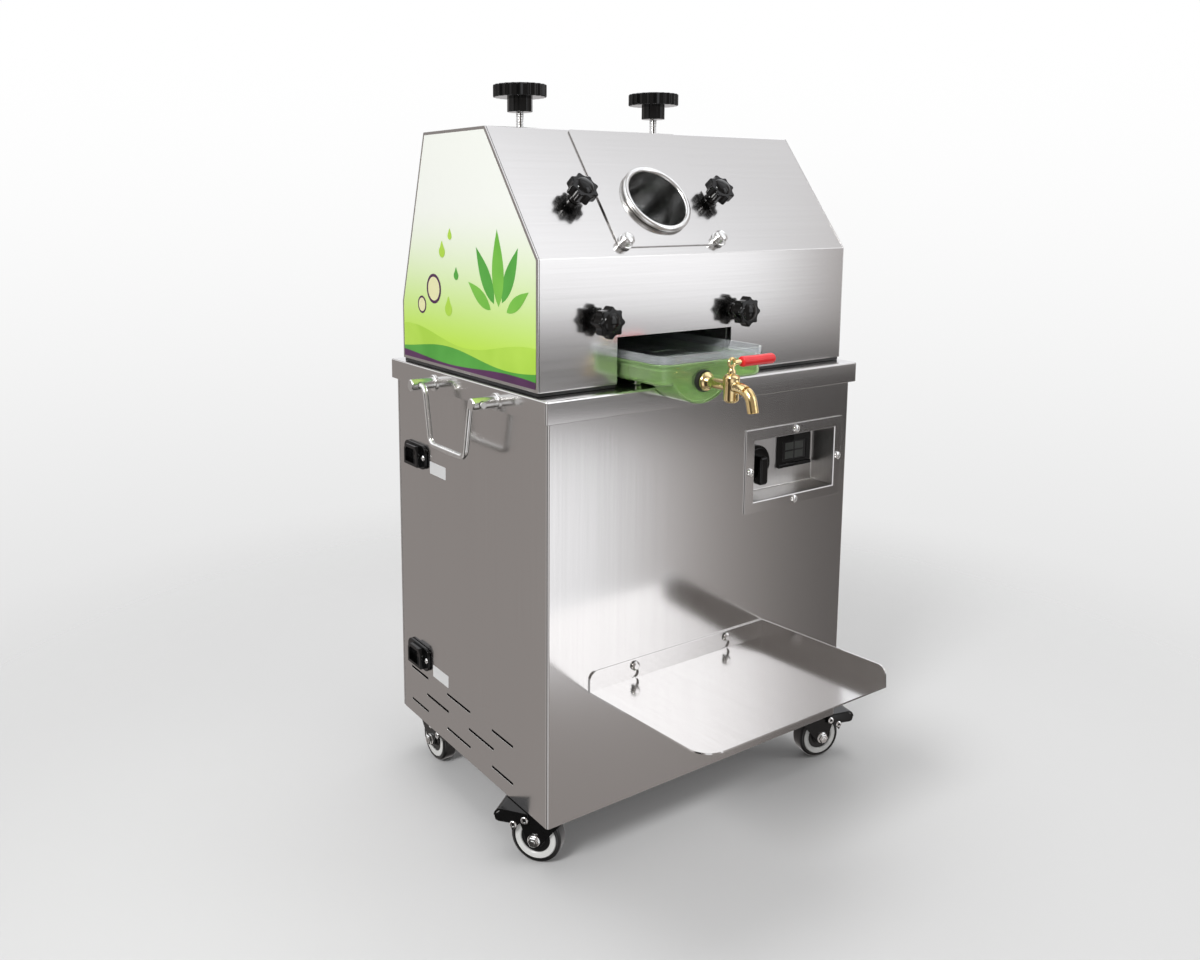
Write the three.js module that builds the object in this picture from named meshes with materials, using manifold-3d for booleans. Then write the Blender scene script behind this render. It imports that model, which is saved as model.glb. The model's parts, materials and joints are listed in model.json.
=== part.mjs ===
// Electric sugarcane juicer: a folded stainless cabinet on four braked casters, with a
// three-roller mill under a removable hood, a juice tub with a tap, and a hung jug shelf.
// Millimetres, +Z up, +Y to the back. The origin is the middle of the floor panel's
// underside, the face that the casters bolt to.

import * as THREE from 'three';
import { mergeVertices } from 'three/addons/utils/BufferGeometryUtils.js';
import Module from 'manifold-3d';

const wasm = await Module();
wasm.setup();

// Driving dimensions

// Sheet metal and fits
const sheet = 1.5;
const bendRadius = 1;
const gap = 0.3;
const screwClearance = 0.4;

// Top plate and cabinet
const plateWidth = 400;
const plateDepth = 300;
const plateLip = 21;
const plateCorner = 2;
const cabinetHeight = 400;
const cabinetInset = 5;
const skirtDepth = 12;
const floorFold = 4;
const floorBayMargin = 8;
const returnWidth = 14;
const casterHeight = 65;

// Vent slots, three staggered rows on each side
const ventLength = 49;
const ventShortLength = 39;
const ventHeight = 2.6;
const ventPitch = 91;
const ventRowPitch = 19.1;
const ventLowestRow = 4.4;
const ventCentre = 18.5;

// Mains inlets on the left side
const inletSetback = 43;
const inletHeights = [65, 290];
const inletFlangeLength = 48;
const inletFlangeHeight = 26;
const inletFlangeThickness = 3;
const inletFlangeCorner = 8;
const inletBodyLength = 30;
const inletBodyHeight = 22;
const inletBodyProud = 5;
const inletBodyDepth = 20;
const inletSocketDepth = 17;
const inletWall = 3;
const inletChamfer = 5;
const inletPinPitch = 7;
const inletPinWidth = 2;
const inletPinHeight = 5;
const inletPinShort = 5;
const inletEarthRise = 2;

// Control recess in the front
const recessSetback = 22.6;
const recessWidth = 117.8;
const recessBottom = 257;
const recessTop = 320;
const recessDepth = 32;
const bezelWidth = 11.2;
const bezelThickness = 2;
const bezelSlopeWidth = 9.2;
const bezelSlopeRise = 1.4;
const bezelChamfer = 1.6;
const meterWidth = 50;
const meterHeight = 35;
const meterProud = 5;
const meterDepth = 22;
const meterEdge = 3.5;
const meterSideGap = 4;
const meterTopGap = 9;
const meterFrame = 3;
const meterWindowDepth = 1.2;
const meterCorner = 2;
const switchPlace = 27;
const switchFlangeRadius = 19;
const switchFlangeThickness = 7;
const switchChamfer = 2;
const switchShaftLength = 16;
const switchStemRadius = 5;
const gripWidth = 12;
const gripLength = 42;
const gripDepth = 15;
const gripEndRadius = 5.5;

// Drop handles
const handlePlace = -8;
const handleDrop = 13;
const postSpacing = 120;
const postRadius = 6;
const postLength = 27;
const postFlangeRadius = 8.5;
const postFlangeThickness = 2;
const bailStandOff = 18;
const bailRadius = 3;
const bailBottomWidth = 68;
const bailDrop = 56;
const bailBend = 7;

// Jug shelf hung on two shoulder studs
const shelfWidth = 223;
const shelfDepth = 155;
const shelfHeight = 108.5;
const shelfFlange = 20;
const shelfTilt = 3;
const shelfCornerRadius = 20;
const shelfFlangeRadius = 8;
const studSpacing = 118;
const studDrop = 6;
const studRadius = 2.3;
const studHeadRadius = 4.6;
const studHeadHeight = 2.6;
const studHeadEdge = 1;
const studCrownRadius = 2.8;
const keyholeDrop = 7.5;

// Hood
const feedCentre = -37;
const hoodGap = 3.5;
const hoodFrontSetback = 20;
const hoodRearSetback = 21;
const hoodFrontKnee = 120;
const hoodRearKnee = 64;
const hoodHeight = 237;
const frontSlopeRun = 87;
const rearSlopeRun = 53;
const hoodFlange = 10;
const gasketInset = 0.8;
const gasketWidth = 4.5;
const tubOpeningWidth = 142;
const tubOpeningHeight = 46.8;
const outletWidth = 112;
const outletLow = 92;
const outletHigh = 158;
const outletRoof = 15;

// Feed cover and inlet tube
const coverWidth = 133;
const coverLow = 9;
const coverCorner = 3;
const inletAlong = 60;
const tubeInner = 32;
const tubeWall = 1.5;
const tubeLength = 55;
const tubeHoleMargin = 4;
const rimRadius = 3;

// Star knobs and tensioning handwheels
const knobRadius = 16;
const knobLobes = 8;
const knobLobeDepth = 3.4;
const knobHeadHeight = 11;
const knobNeckRadius = 7;
const knobNeckHeight = 9;
const knobDome = 3.5;
const shankRadius = 3;
const knobShank = 18;
const knobBevel = 1.5;
const lowerKnobHeight = 63;
const upperKnobAlong = 64;
const wheelRadius = 26.5;
const wheelFlutes = 22;
const wheelFluteDepth = 1.6;
const wheelRimHeight = 12;
const wheelBevel = 1.2;
const wheelHubStep = 1.5;
const wheelCollarRadius = 12.5;
const wheelCollarHeight = 14;
const wheelCollarRib = 0.5;
const wheelCollarRibs = 12;
const wheelTopAboveHood = 45;
const screwRadius = 4;

// Roller mill
const millCentre = -45;
const millHalfWidth = 84;
const millPlate = 12;
const millTop = 202;
const millRearGap = 49;
const millRearTaper = 20;
const millRearShoulder = 10;
const millFrontGap = 4.5;
const rollerRadius = 32;
const rollerFlutes = 24;
const rollerFluteDepth = 1.2;
const rollerNip = 2;
const lowerRollerSpread = 37;
const lowerRollerHeight = 77;
const rollerEndGap = 1;
const journalRadius = 10;
const journalProud = 3;
const blockWidth = 44;
const blockHeight = 44;
const tensionTravel = 1.5;
const gearTeeth = 18;
const gearWidth = 16;
const gearWorkingDepth = 7;
const gearRootClearance = 0.8;
const gearTipShare = 0.098;
const gearFootShare = 0.273;
const gearPlateGap = 3;

// Drive
const gearboxPlace = 56;
const gearboxRadius = 36;
const gearboxLength = 62;
const motorRadius = 31;
const motorSideGap = 5.5;
const motorChamfer = 3;
const quillRadius = 17;
const quillLength = 5;
const quillDepth = 34;
const footWidth = 84;
const footThickness = 8;
const footWaist = 56;
const footStep = 6;

// Bagasse chute
const chuteWidth = 104;
const chuteWall = 14;
const chuteStartBehind = 21;
const chuteStartRise = 27;
const chuteEndSetback = 4;
const chuteEndDrop = 3;
const chuteBarPlace = 9;
const chuteBarSize = 8;

// Juice tub, strainer tray and tap
const tubHalfWidth = 64;
const tubProud = 34;
const tubRearGap = 37;
const tubWall = 2;
const tubCorner = 14;
const tubFootRadius = 5;
const runnerHeight = 6.9;
const runnerWidth = 8;
const runnerSpacing = 90;
const tubHeight = 20;
const tubRimWidth = 3;
const tubRimThickness = 2;
const trayRise = 7.3;
const trayDrop = 7;
const trayFloor = 1.5;
const trayWall = 2;
const trayLedge = 2;
const trayRimProud = 2;
const trayRimWall = 2.5;
const traySlotMargin = 20;
const traySlotRows = 10;
const traySlotLength = 46;
const traySlotWidth = 3.2;
const sumpCentre = -52;
const sumpRadius = 40;
const sumpDrop = 19;
const sumpSetback = 2;
const tapCentre = -53;
const tapHeight = 9.5;
const tapWasherRadius = 10;
const tapWasherThickness = 4;
const tapFlangeRadius = 8.8;
const tapFlangeThickness = 3.5;
const tapNeckRadius = 5;
const tapReach = 37;
const tapBarrelRadius = 7.4;
const tapBarrelHeight = 23;
const tapBarrelAbove = 10.6;
const tapBarrelChamfer = 2;
const tapCollarHeight = 1.5;
const tapCollarStep = 1.4;
const tapSpoutRadius = 5.2;
const tapSpoutReach = 27;
const tapSpoutDrop = 18;
const tapSpoutLean = 16;
const tapSpoutStraight = 12;
const tapSpoutBend = 22;
const tapSpoutBendDrop = 5;
const tapBore = 3.6;
const tapBoreDepth = 23;
const tapTailRadius = 4.4;
const tapTailProud = 2.7;
const tapNutRadius = 9;
const tapNutThickness = 4;
const tapStemRadius = 3.6;
const tapStemHeight = 10;
const tapEyeRadius = 5;
const tapLeverLength = 51;
const tapLeverRadius = 2.6;
const tapGripRadius = 4.8;
const tapGripLength = 40;
const tapGripRound = 2;
const tapGripTipStep = 1.2;

// Casters
const casterSideSetback = 25;
const casterEndSetback = 23;
const casterTrail = 17;
const casterWheelRadius = 25;
const casterWheelWidth = 18;
const casterTreadRound = 2.5;
const casterHeadRadius = 17;
const casterHeadHeight = 4.5;
const casterHeadTaper = 3;
const casterBoltRadius = 4;
const casterBoltHead = 3;
const casterBoltProud = 6;
const forkThickness = 2.5;
const forkCrownRadius = 19.5;
const wheelSideGap = 1.2;
const cheekNeck = 5;
const axleRadius = 3;
const axleProud = 2;
const pedalPivotBehind = 8;
const pedalPivotZ = -19;
const pedalPinRadius = 2.2;
const pedalPinHead = 1.2;
const pedalArmStart = 5;
const pedalPlateStart = 8;
const pedalLength = 24;
const casterTurns = { frontLeft: 126, frontRight: -13, rearLeft: -90, rearRight: -60 };

// Battery inside the cabinet
const batteryPlace = -90;
const batteryWidth = 125;
const batteryDepth = 181;
const batteryHeight = 160;
const batteryLid = 12;
const batteryStep = 1.5;
const batteryCorner = 4;
const terminalHeight = 6;
const terminalRadius = 6;
const terminalSpacing = 138;

// Derived levels and faces
const plateTop = cabinetHeight - skirtDepth;
const cabinetSide = plateWidth / 2 - cabinetInset;
const cabinetFront = -(plateDepth / 2 - cabinetInset);
const cabinetRear = plateDepth / 2 - cabinetInset;
const shellRear = cabinetRear - sheet - gap;
const shellTop = plateTop - sheet - gap;
const inletPlace = cabinetRear - inletSetback;
const recessRight = cabinetSide - recessSetback;
const recessLeft = recessRight - recessWidth;
const casterX = cabinetSide - casterSideSetback;
const casterY = cabinetRear - casterEndSetback;
const hoodFront = -plateDepth / 2 + hoodFrontSetback;
const hoodRear = plateDepth / 2 - hoodRearSetback;
const hoodTopFront = hoodFront + frontSlopeRun;
const hoodTopRear = hoodRear - rearSlopeRun;
const tubFront = -plateDepth / 2 - tubProud;
const tubRear = hoodRear - tubRearGap;
const millRear = hoodRear - millRearGap;
const hoodBase = plateTop + hoodGap;
const hoodTop = plateTop + hoodHeight;
const frontKnee = plateTop + hoodFrontKnee;
const rearKnee = plateTop + hoodRearKnee;
const hoodSide = cabinetSide;
const slopeRun = hoodTopFront - hoodFront;
const slopeRise = hoodTop - frontKnee;
const slopeLength = Math.hypot(slopeRun, slopeRise);
const slopeAngle = Math.atan2(slopeRise, slopeRun);
const rollerLow = plateTop + lowerRollerHeight;
const rollerDistance = 2 * rollerRadius + rollerNip;
const rollerHigh = rollerLow + Math.sqrt(rollerDistance ** 2 - lowerRollerSpread ** 2);
const millInner = millHalfWidth - millPlate / 2;
const millOuter = millHalfWidth + millPlate / 2;
const tubFloor = plateTop + runnerHeight;
const tubRim = tubFloor + tubHeight;

// Finishes

const stainless = () => new THREE.MeshStandardMaterial({ color: 0xa9a5a1, roughness: 0.34, metalness: 1 });
const steel = () => new THREE.MeshStandardMaterial({ color: 0x8d8f92, roughness: 0.4, metalness: 1 });
const chrome = () => new THREE.MeshStandardMaterial({ color: 0xd6d6d4, roughness: 0.15, metalness: 1 });
const brass = () => new THREE.MeshStandardMaterial({ color: 0xc79a3c, roughness: 0.22, metalness: 1 });
const blackGloss = () => new THREE.MeshStandardMaterial({ color: 0x121212, roughness: 0.25, metalness: 0 });
const blackPaint = () => new THREE.MeshStandardMaterial({ color: 0x17181a, roughness: 0.35, metalness: 0.3 });
const rubber = () => new THREE.MeshStandardMaterial({ color: 0x0e0e0e, roughness: 0.7, metalness: 0 });
const redPlastic = () => new THREE.MeshStandardMaterial({ color: 0xd0181c, roughness: 0.35, metalness: 0 });
const greyPaint = () => new THREE.MeshStandardMaterial({ color: 0x5c6064, roughness: 0.5, metalness: 0.2 });
const batteryCase = () => new THREE.MeshStandardMaterial({ color: 0x2b3038, roughness: 0.55, metalness: 0 });
const greenClear = () => new THREE.MeshStandardMaterial(
  { color: 0x7fc24a, roughness: 0.1, metalness: 0, transparent: true, opacity: 0.55 });
const clear = () => new THREE.MeshStandardMaterial(
  { color: 0xdfeee0, roughness: 0.08, metalness: 0, transparent: true, opacity: 0.4 });

// Solid tools: every geometry is a closed body, and these join or cut such bodies

function solidOf(geometry) {
  const bare = geometry.clone();
  bare.deleteAttribute('normal');
  bare.deleteAttribute('uv');
  const merged = mergeVertices(bare, 1e-4);
  const index = merged.index.array;
  const kept = [];
  for (let i = 0; i < index.length; i += 3) {
    const [a, b, c] = [index[i], index[i + 1], index[i + 2]];
    if (a !== b && b !== c && c !== a) kept.push(a, b, c);
  }
  return new wasm.Manifold(new wasm.Mesh({
    numProp: 3,
    vertProperties: merged.attributes.position.array,
    triVerts: new Uint32Array(kept),
  }));
}

function geometryOf(solid) {
  const { vertProperties, triVerts } = solid.getMesh();
  const geometry = new THREE.BufferGeometry();
  geometry.setAttribute('position', new THREE.BufferAttribute(vertProperties, 3));
  geometry.setIndex(new THREE.BufferAttribute(triVerts, 1));
  return geometry;
}

function join(...geometries) {
  return geometryOf(geometries.map(solidOf).reduce((sum, next) => sum.add(next)));
}

function cut(base, ...tools) {
  return geometryOf(tools.map(solidOf).reduce((rest, tool) => rest.subtract(tool), solidOf(base)));
}

function common(a, b) {
  return geometryOf(solidOf(a).intersect(solidOf(b)));
}

// Shape tools

function polygon(points) {
  return new THREE.Shape(points.map(([x, y]) => new THREE.Vector2(x, y)));
}

function rectangle(x0, y0, x1, y1, radius = 0) {
  if (radius <= 0) return polygon([[x0, y0], [x1, y0], [x1, y1], [x0, y1]]);
  const shape = new THREE.Shape();
  shape.absarc(x1 - radius, y0 + radius, radius, -Math.PI / 2, 0, false);
  shape.absarc(x1 - radius, y1 - radius, radius, 0, Math.PI / 2, false);
  shape.absarc(x0 + radius, y1 - radius, radius, Math.PI / 2, Math.PI, false);
  shape.absarc(x0 + radius, y0 + radius, radius, Math.PI, Math.PI * 1.5, false);
  shape.closePath();
  return shape;
}

// Outline of a ring of rounded lobes or flutes
function lobedShape(radius, depth, count, stepsPerLobe) {
  const points = [];
  for (let i = 0; i < count * stepsPerLobe; i++) {
    const angle = (i / (count * stepsPerLobe)) * Math.PI * 2;
    const r = radius - depth * (1 - Math.cos(count * angle));
    points.push([r * Math.cos(angle), r * Math.sin(angle)]);
  }
  return polygon(points);
}

// Moves every edge of a convex outline inwards by a distance
function insetOutline(points, distance) {
  const count = points.length;
  const lines = points.map(([x, y], i) => {
    const [nx, ny] = points[(i + 1) % count];
    const length = Math.hypot(nx - x, ny - y);
    const dir = [(nx - x) / length, (ny - y) / length];
    return { start: [x - dir[1] * distance, y + dir[0] * distance], dir };
  });
  return lines.map((line, i) => {
    const before = lines[(i + count - 1) % count];
    const cross = before.dir[0] * line.dir[1] - before.dir[1] * line.dir[0];
    const dx = line.start[0] - before.start[0];
    const dy = line.start[1] - before.start[1];
    const along = (dx * line.dir[1] - dy * line.dir[0]) / cross;
    return [before.start[0] + before.dir[0] * along, before.start[1] + before.dir[1] * along];
  });
}

// Cross-section of a folded sheet. The corners lie on its outer face, the metal is on the
// left of the path, and every fold turns left.
function foldedShape(corners, thickness, innerRadius) {
  const shape = new THREE.Shape();
  const outerRadius = innerRadius + thickness;
  const legs = corners.slice(1).map(([x, y], i) => {
    const [px, py] = corners[i];
    const length = Math.hypot(x - px, y - py);
    return [(x - px) / length, (y - py) / length];
  });
  const folds = legs.slice(1).map((leg, i) => {
    const before = legs[i];
    const turn = Math.acos(before[0] * leg[0] + before[1] * leg[1]);
    const tangent = outerRadius * Math.tan(turn / 2);
    const [cx, cy] = corners[i + 1];
    return {
      x: cx - before[0] * tangent - before[1] * outerRadius,
      y: cy - before[1] * tangent + before[0] * outerRadius,
      start: Math.atan2(-before[0], before[1]),
      turn,
    };
  });
  const [firstX, firstY] = corners[0];
  const [lastX, lastY] = corners[corners.length - 1];
  const firstLeg = legs[0];
  const lastLeg = legs[legs.length - 1];
  shape.moveTo(firstX, firstY);
  for (const fold of folds) {
    shape.lineTo(fold.x + outerRadius * Math.cos(fold.start), fold.y + outerRadius * Math.sin(fold.start));
    shape.absarc(fold.x, fold.y, outerRadius, fold.start, fold.start + fold.turn, false);
  }
  shape.lineTo(lastX, lastY);
  shape.lineTo(lastX - lastLeg[1] * thickness, lastY + lastLeg[0] * thickness);
  for (const fold of folds.toReversed()) {
    shape.absarc(fold.x, fold.y, innerRadius, fold.start + fold.turn, fold.start, true);
  }
  shape.lineTo(firstX - firstLeg[1] * thickness, firstY + firstLeg[0] * thickness);
  shape.closePath();
  return shape;
}

// Bodies

function prismZ(shape, z0, z1, curveSegments = 2) {
  const geometry = new THREE.ExtrudeGeometry(shape, { depth: z1 - z0, bevelEnabled: false, curveSegments });
  return geometry.translate(0, 0, z0);
}

// The same with its edges bevelled: the bevel widens the shape by its own size
function bevelledPrism(shape, z0, z1, bevel) {
  const geometry = new THREE.ExtrudeGeometry(shape,
    { depth: z1 - z0 - 2 * bevel, bevelThickness: bevel, bevelSize: bevel, bevelSegments: 1 });
  return geometry.translate(0, 0, z0 + bevel);
}

// Shape drawn in Y and Z, extruded along X
function prismX(shape, x0, x1, curveSegments = 2) {
  const axes = new THREE.Matrix4().makeBasis(
    new THREE.Vector3(0, 1, 0), new THREE.Vector3(0, 0, 1), new THREE.Vector3(1, 0, 0));
  return prismZ(shape, x0, x1, curveSegments).applyMatrix4(axes);
}

// Shape drawn in X and Z, extruded along Y
const uprightAxes = new THREE.Matrix4().makeBasis(
  new THREE.Vector3(1, 0, 0), new THREE.Vector3(0, 0, 1), new THREE.Vector3(0, -1, 0));

function prismY(shape, y0, y1, curveSegments = 2) {
  return prismZ(shape, -y1, -y0, curveSegments).applyMatrix4(uprightAxes);
}

function box(x0, x1, y0, y1, z0, z1) {
  return new THREE.BoxGeometry(x1 - x0, y1 - y0, z1 - z0)
    .translate((x0 + x1) / 2, (y0 + y1) / 2, (z0 + z1) / 2);
}

function rodX(radius, x0, x1, y, z, sides = 20) {
  return new THREE.CylinderGeometry(radius, radius, x1 - x0, sides)
    .rotateZ(-Math.PI / 2).translate((x0 + x1) / 2, y, z);
}

function rodY(radius, y0, y1, x, z, sides = 20) {
  return new THREE.CylinderGeometry(radius, radius, y1 - y0, sides).translate(x, (y0 + y1) / 2, z);
}

function rodZ(radius, z0, z1, x, y, sides = 20) {
  return new THREE.CylinderGeometry(radius, radius, z1 - z0, sides)
    .rotateX(Math.PI / 2).translate(x, y, (z0 + z1) / 2);
}

// Revolved body about Z, from [radius, height] points that start and end on the axis
function turned(points, sides = 24) {
  const outline = points.map(([r, h]) => new THREE.Vector2(r, h));
  return new THREE.LatheGeometry(outline, sides).rotateX(Math.PI / 2);
}

// Tube along a path of straight runs and rounded corners
function bentRod(points, radius, cornerRadius, sides, steps) {
  const path = new THREE.CurvePath();
  let from = points[0];
  for (let i = 1; i < points.length - 1; i++) {
    const corner = points[i];
    const into = points[i - 1].clone().sub(corner).normalize();
    const out = points[i + 1].clone().sub(corner).normalize();
    const start = corner.clone().addScaledVector(into, cornerRadius);
    const end = corner.clone().addScaledVector(out, cornerRadius);
    path.add(new THREE.LineCurve3(from, start));
    path.add(new THREE.QuadraticBezierCurve3(start, corner, end));
    from = end;
  }
  path.add(new THREE.LineCurve3(from, points[points.length - 1]));
  const section = new THREE.Shape().absarc(0, 0, radius, 0, Math.PI * 2, false);
  return new THREE.ExtrudeGeometry(section,
    { extrudePath: path, steps, curveSegments: sides, bevelEnabled: false });
}

// Assembly

const machine = new THREE.Group();
machine.name = 'sugarcane_juicer';

function add(name, geometry, material, parent = machine) {
  const mesh = new THREE.Mesh(geometry, material);
  mesh.name = name;
  parent.add(mesh);
  return mesh;
}

// The front slope's own frame: x along the hood, y up the slope, z out of it
const slope = new THREE.Group();
slope.position.set(0, hoodFront, frontKnee);
slope.rotation.x = slopeAngle;
slope.updateMatrix();
machine.add(slope);

function onSlope(geometry) {
  return geometry.applyMatrix4(slope.matrix);
}

// Cabinet

function ventCuts() {
  const cuts = [];
  const drawRow = (row, places) => {
    for (const [offset, length] of places) {
      const y = ventCentre + offset;
      const z = ventLowestRow + row * ventRowPitch;
      cuts.push(rectangle(y - length / 2, z - ventHeight / 2, y + length / 2, z + ventHeight / 2));
    }
  };
  const trim = (ventLength - ventShortLength) / 2;
  const outer = [[-ventPitch + trim, ventShortLength], [0, ventLength], [ventPitch - trim, ventShortLength]];
  const inner = [[-ventPitch / 2, ventLength], [ventPitch / 2, ventLength]];
  drawRow(0, outer);
  drawRow(1, inner);
  drawRow(2, outer);
  return cuts;
}

function shoulderStud(x) {
  const underHead = sheet + 2 * gap + screwClearance;
  const headTop = underHead + studHeadHeight;
  const stud = turned([
    [0, -sheet], [studRadius, -sheet], [studRadius, underHead], [studHeadRadius, underHead],
    [studHeadRadius, underHead + studHeadEdge], [studCrownRadius, headTop], [0, headTop],
  ], 16);
  return stud.rotateX(Math.PI / 2).translate(x, cabinetFront, shelfHeight + shelfFlange - studDrop);
}

function makeCabinet() {
  const wrap = foldedShape([
    [-cabinetSide + returnWidth, shellRear], [-cabinetSide, shellRear], [-cabinetSide, cabinetFront],
    [cabinetSide, cabinetFront], [cabinetSide, shellRear], [cabinetSide - returnWidth, shellRear],
  ], sheet, bendRadius);
  const walls = prismZ(wrap, -skirtDepth, shellTop);
  const cuts = [];
  for (const vent of ventCuts()) {
    cuts.push(prismX(vent, -cabinetSide - sheet, -cabinetSide + 2 * sheet, 1));
    cuts.push(prismX(vent, cabinetSide - 2 * sheet, cabinetSide + sheet, 1));
  }
  for (const z of inletHeights) {
    const halfLength = inletBodyLength / 2 + gap;
    const halfHeight = inletBodyHeight / 2 + gap;
    cuts.push(box(-cabinetSide - sheet, -cabinetSide + 2 * sheet,
      inletPlace - halfLength, inletPlace + halfLength, z - halfHeight, z + halfHeight));
  }
  const margin = sheet + gap;
  cuts.push(box(recessLeft - margin, recessRight + margin, cabinetFront - sheet, cabinetFront + 2 * sheet,
    recessBottom - margin, recessTop + margin));
  const studs = [-1, 1].map((side) => shoulderStud(feedCentre + side * studSpacing / 2));
  add('cabinet_shell', join(cut(walls, ...cuts), ...studs), stainless());

  add('cabinet_back_panel', prismY(
    rectangle(-cabinetSide, -skirtDepth, cabinetSide, shellTop, bendRadius),
    cabinetRear - sheet, cabinetRear), stainless());

  const floorSide = cabinetSide - sheet - gap;
  const floorFront = cabinetFront + sheet + gap;
  const floorRear = shellRear - sheet - gap;
  const pan = prismZ(rectangle(-floorSide, floorFront, floorSide, floorRear), -floorFold, sheet);
  const hollow = prismZ(rectangle(-floorSide + sheet, floorFront + sheet,
    floorSide - sheet, floorRear - sheet), -skirtDepth, 0);
  const boltHoles = [];
  for (const [sideX, sideY] of [[-1, -1], [1, -1], [-1, 1], [1, 1]]) {
    boltHoles.push(rodZ(casterBoltRadius + gap, -1, sheet + 1, sideX * casterX, sideY * casterY));
  }
  // The middle of the floor is one plain panel, kept clear of the four caster heads
  const baySide = floorSide - floorBayMargin;
  const bayFront = -casterY + casterHeadRadius + floorBayMargin;
  const bayRear = casterY - casterHeadRadius - 2 * floorBayMargin;
  const bay = [-baySide, baySide, bayFront, bayRear];
  const bayPanel = box(...bay, 0, sheet);
  add('cabinet_floor', join(cut(pan, hollow, ...boltHoles, box(...bay, -1, sheet + 1)), bayPanel),
    steel());
}

// Top plate with its lip, two pressed runners under the tub, and the four handle posts

function handlePost(side, y) {
  const face = side * plateWidth / 2;
  const z = plateTop - handleDrop;
  const rod = (radius, start, end) => rodX(radius, Math.min(start, end), Math.max(start, end), y, z, 16);
  const post = rod(postRadius, face - side * sheet / 2, face + side * postLength);
  const flange = rod(postFlangeRadius, face, face + side * postFlangeThickness);
  const holeX = face + side * bailStandOff;
  const hole = rodY(bailRadius + 2 * gap, y - 2 * postRadius, y + 2 * postRadius, holeX, z, 10);
  return cut(join(post, flange), hole);
}

function makeTopPlate() {
  const halfWidth = plateWidth / 2;
  const halfDepth = plateDepth / 2;
  const block = prismZ(rectangle(-halfWidth, -halfDepth, halfWidth, halfDepth, plateCorner),
    plateTop - plateLip, plateTop);
  const pocket = prismZ(rectangle(-halfWidth + sheet, -halfDepth + sheet,
    halfWidth - sheet, halfDepth - sheet, plateCorner - 1), plateTop - plateLip - 1, plateTop - sheet);
  const bead = new THREE.Shape();
  const round = runnerWidth / 4;
  bead.moveTo(-runnerWidth / 2, -sheet / 2);
  bead.lineTo(runnerWidth / 2, -sheet / 2);
  bead.absarc(runnerWidth / 2 - round, runnerHeight - gap - round, round, 0, Math.PI / 2, false);
  bead.absarc(-runnerWidth / 2 + round, runnerHeight - gap - round, round, Math.PI / 2, Math.PI, false);
  bead.closePath();
  const parts = [];
  for (const side of [-1, 1]) {
    const runner = prismY(bead, hoodFront - sheet, tubRear, 3);
    parts.push(runner.translate(feedCentre + side * runnerSpacing / 2, 0, plateTop));
    for (const end of [-1, 1]) {
      parts.push(handlePost(side, handlePlace + end * postSpacing / 2));
    }
  }
  add('top_plate', join(cut(block, pocket), ...parts), stainless());
}

function makeHandles() {
  const z = plateTop - handleDrop;
  const topHalf = postSpacing / 2;
  const tailHalf = topHalf + postRadius + bailRadius;
  const innerHalf = topHalf - postRadius - bailBend - 2;
  for (const [name, side] of [['handle_left', -1], ['handle_right', 1]]) {
    const x = side * (plateWidth / 2 + bailStandOff);
    const point = (y, dz) => new THREE.Vector3(x, handlePlace + y, z + dz);
    const bail = bentRod([
      point(-tailHalf, 0), point(-innerHalf, 0), point(-bailBottomWidth / 2, -bailDrop),
      point(bailBottomWidth / 2, -bailDrop), point(innerHalf, 0), point(tailHalf, 0),
    ], bailRadius, bailBend, 4, 40);
    add(name, bail, chrome());
  }
}

// Mains inlets: a flanged black body with its socket and three flat pins

function makeInlets() {
  const names = ['power_inlet_lower', 'power_inlet_upper'];
  inletHeights.forEach((z, i) => {
    const face = -cabinetSide - gap;
    const y0 = inletPlace - inletBodyLength / 2;
    const y1 = inletPlace + inletBodyLength / 2;
    const z0 = z - inletBodyHeight / 2;
    const z1 = z + inletBodyHeight / 2;
    const chamferedShape = (inset, chamfer) => {
      const [front, rear, low, high] = [y0 + inset, y1 - inset, z0 + inset, z1 - inset];
      return polygon([[front, low], [rear, low], [rear, high - chamfer], [rear - chamfer, high],
        [front + chamfer, high], [front, high - chamfer]]);
    };
    const flangeOutline = rectangle(inletPlace - inletFlangeLength / 2, z - inletFlangeHeight / 2,
      inletPlace + inletFlangeLength / 2, z + inletFlangeHeight / 2, inletFlangeCorner);
    const flange = prismX(flangeOutline, face - inletFlangeThickness, face);
    const front = face - inletFlangeThickness - inletBodyProud;
    const body = prismX(chamferedShape(0, inletChamfer), front, face + inletBodyDepth);
    const socket = prismX(chamferedShape(inletWall, inletChamfer - 1), front - 1, front + inletSocketDepth);
    const pins = [-1, 0, 1].map((place) => {
      const y = inletPlace + place * inletPinPitch;
      const middle = z + (place === 0 ? inletEarthRise : -inletEarthRise / 2);
      return box(front + inletPinShort, front + inletSocketDepth + 1,
        y - inletPinWidth / 2, y + inletPinWidth / 2,
        middle - inletPinHeight / 2, middle + inletPinHeight / 2);
    });
    add(names[i], join(cut(join(flange, body), socket), ...pins), blackGloss());
  });
}

// Control recess: a pressed steel box behind a bevelled bezel, a battery meter and a switch

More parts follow.
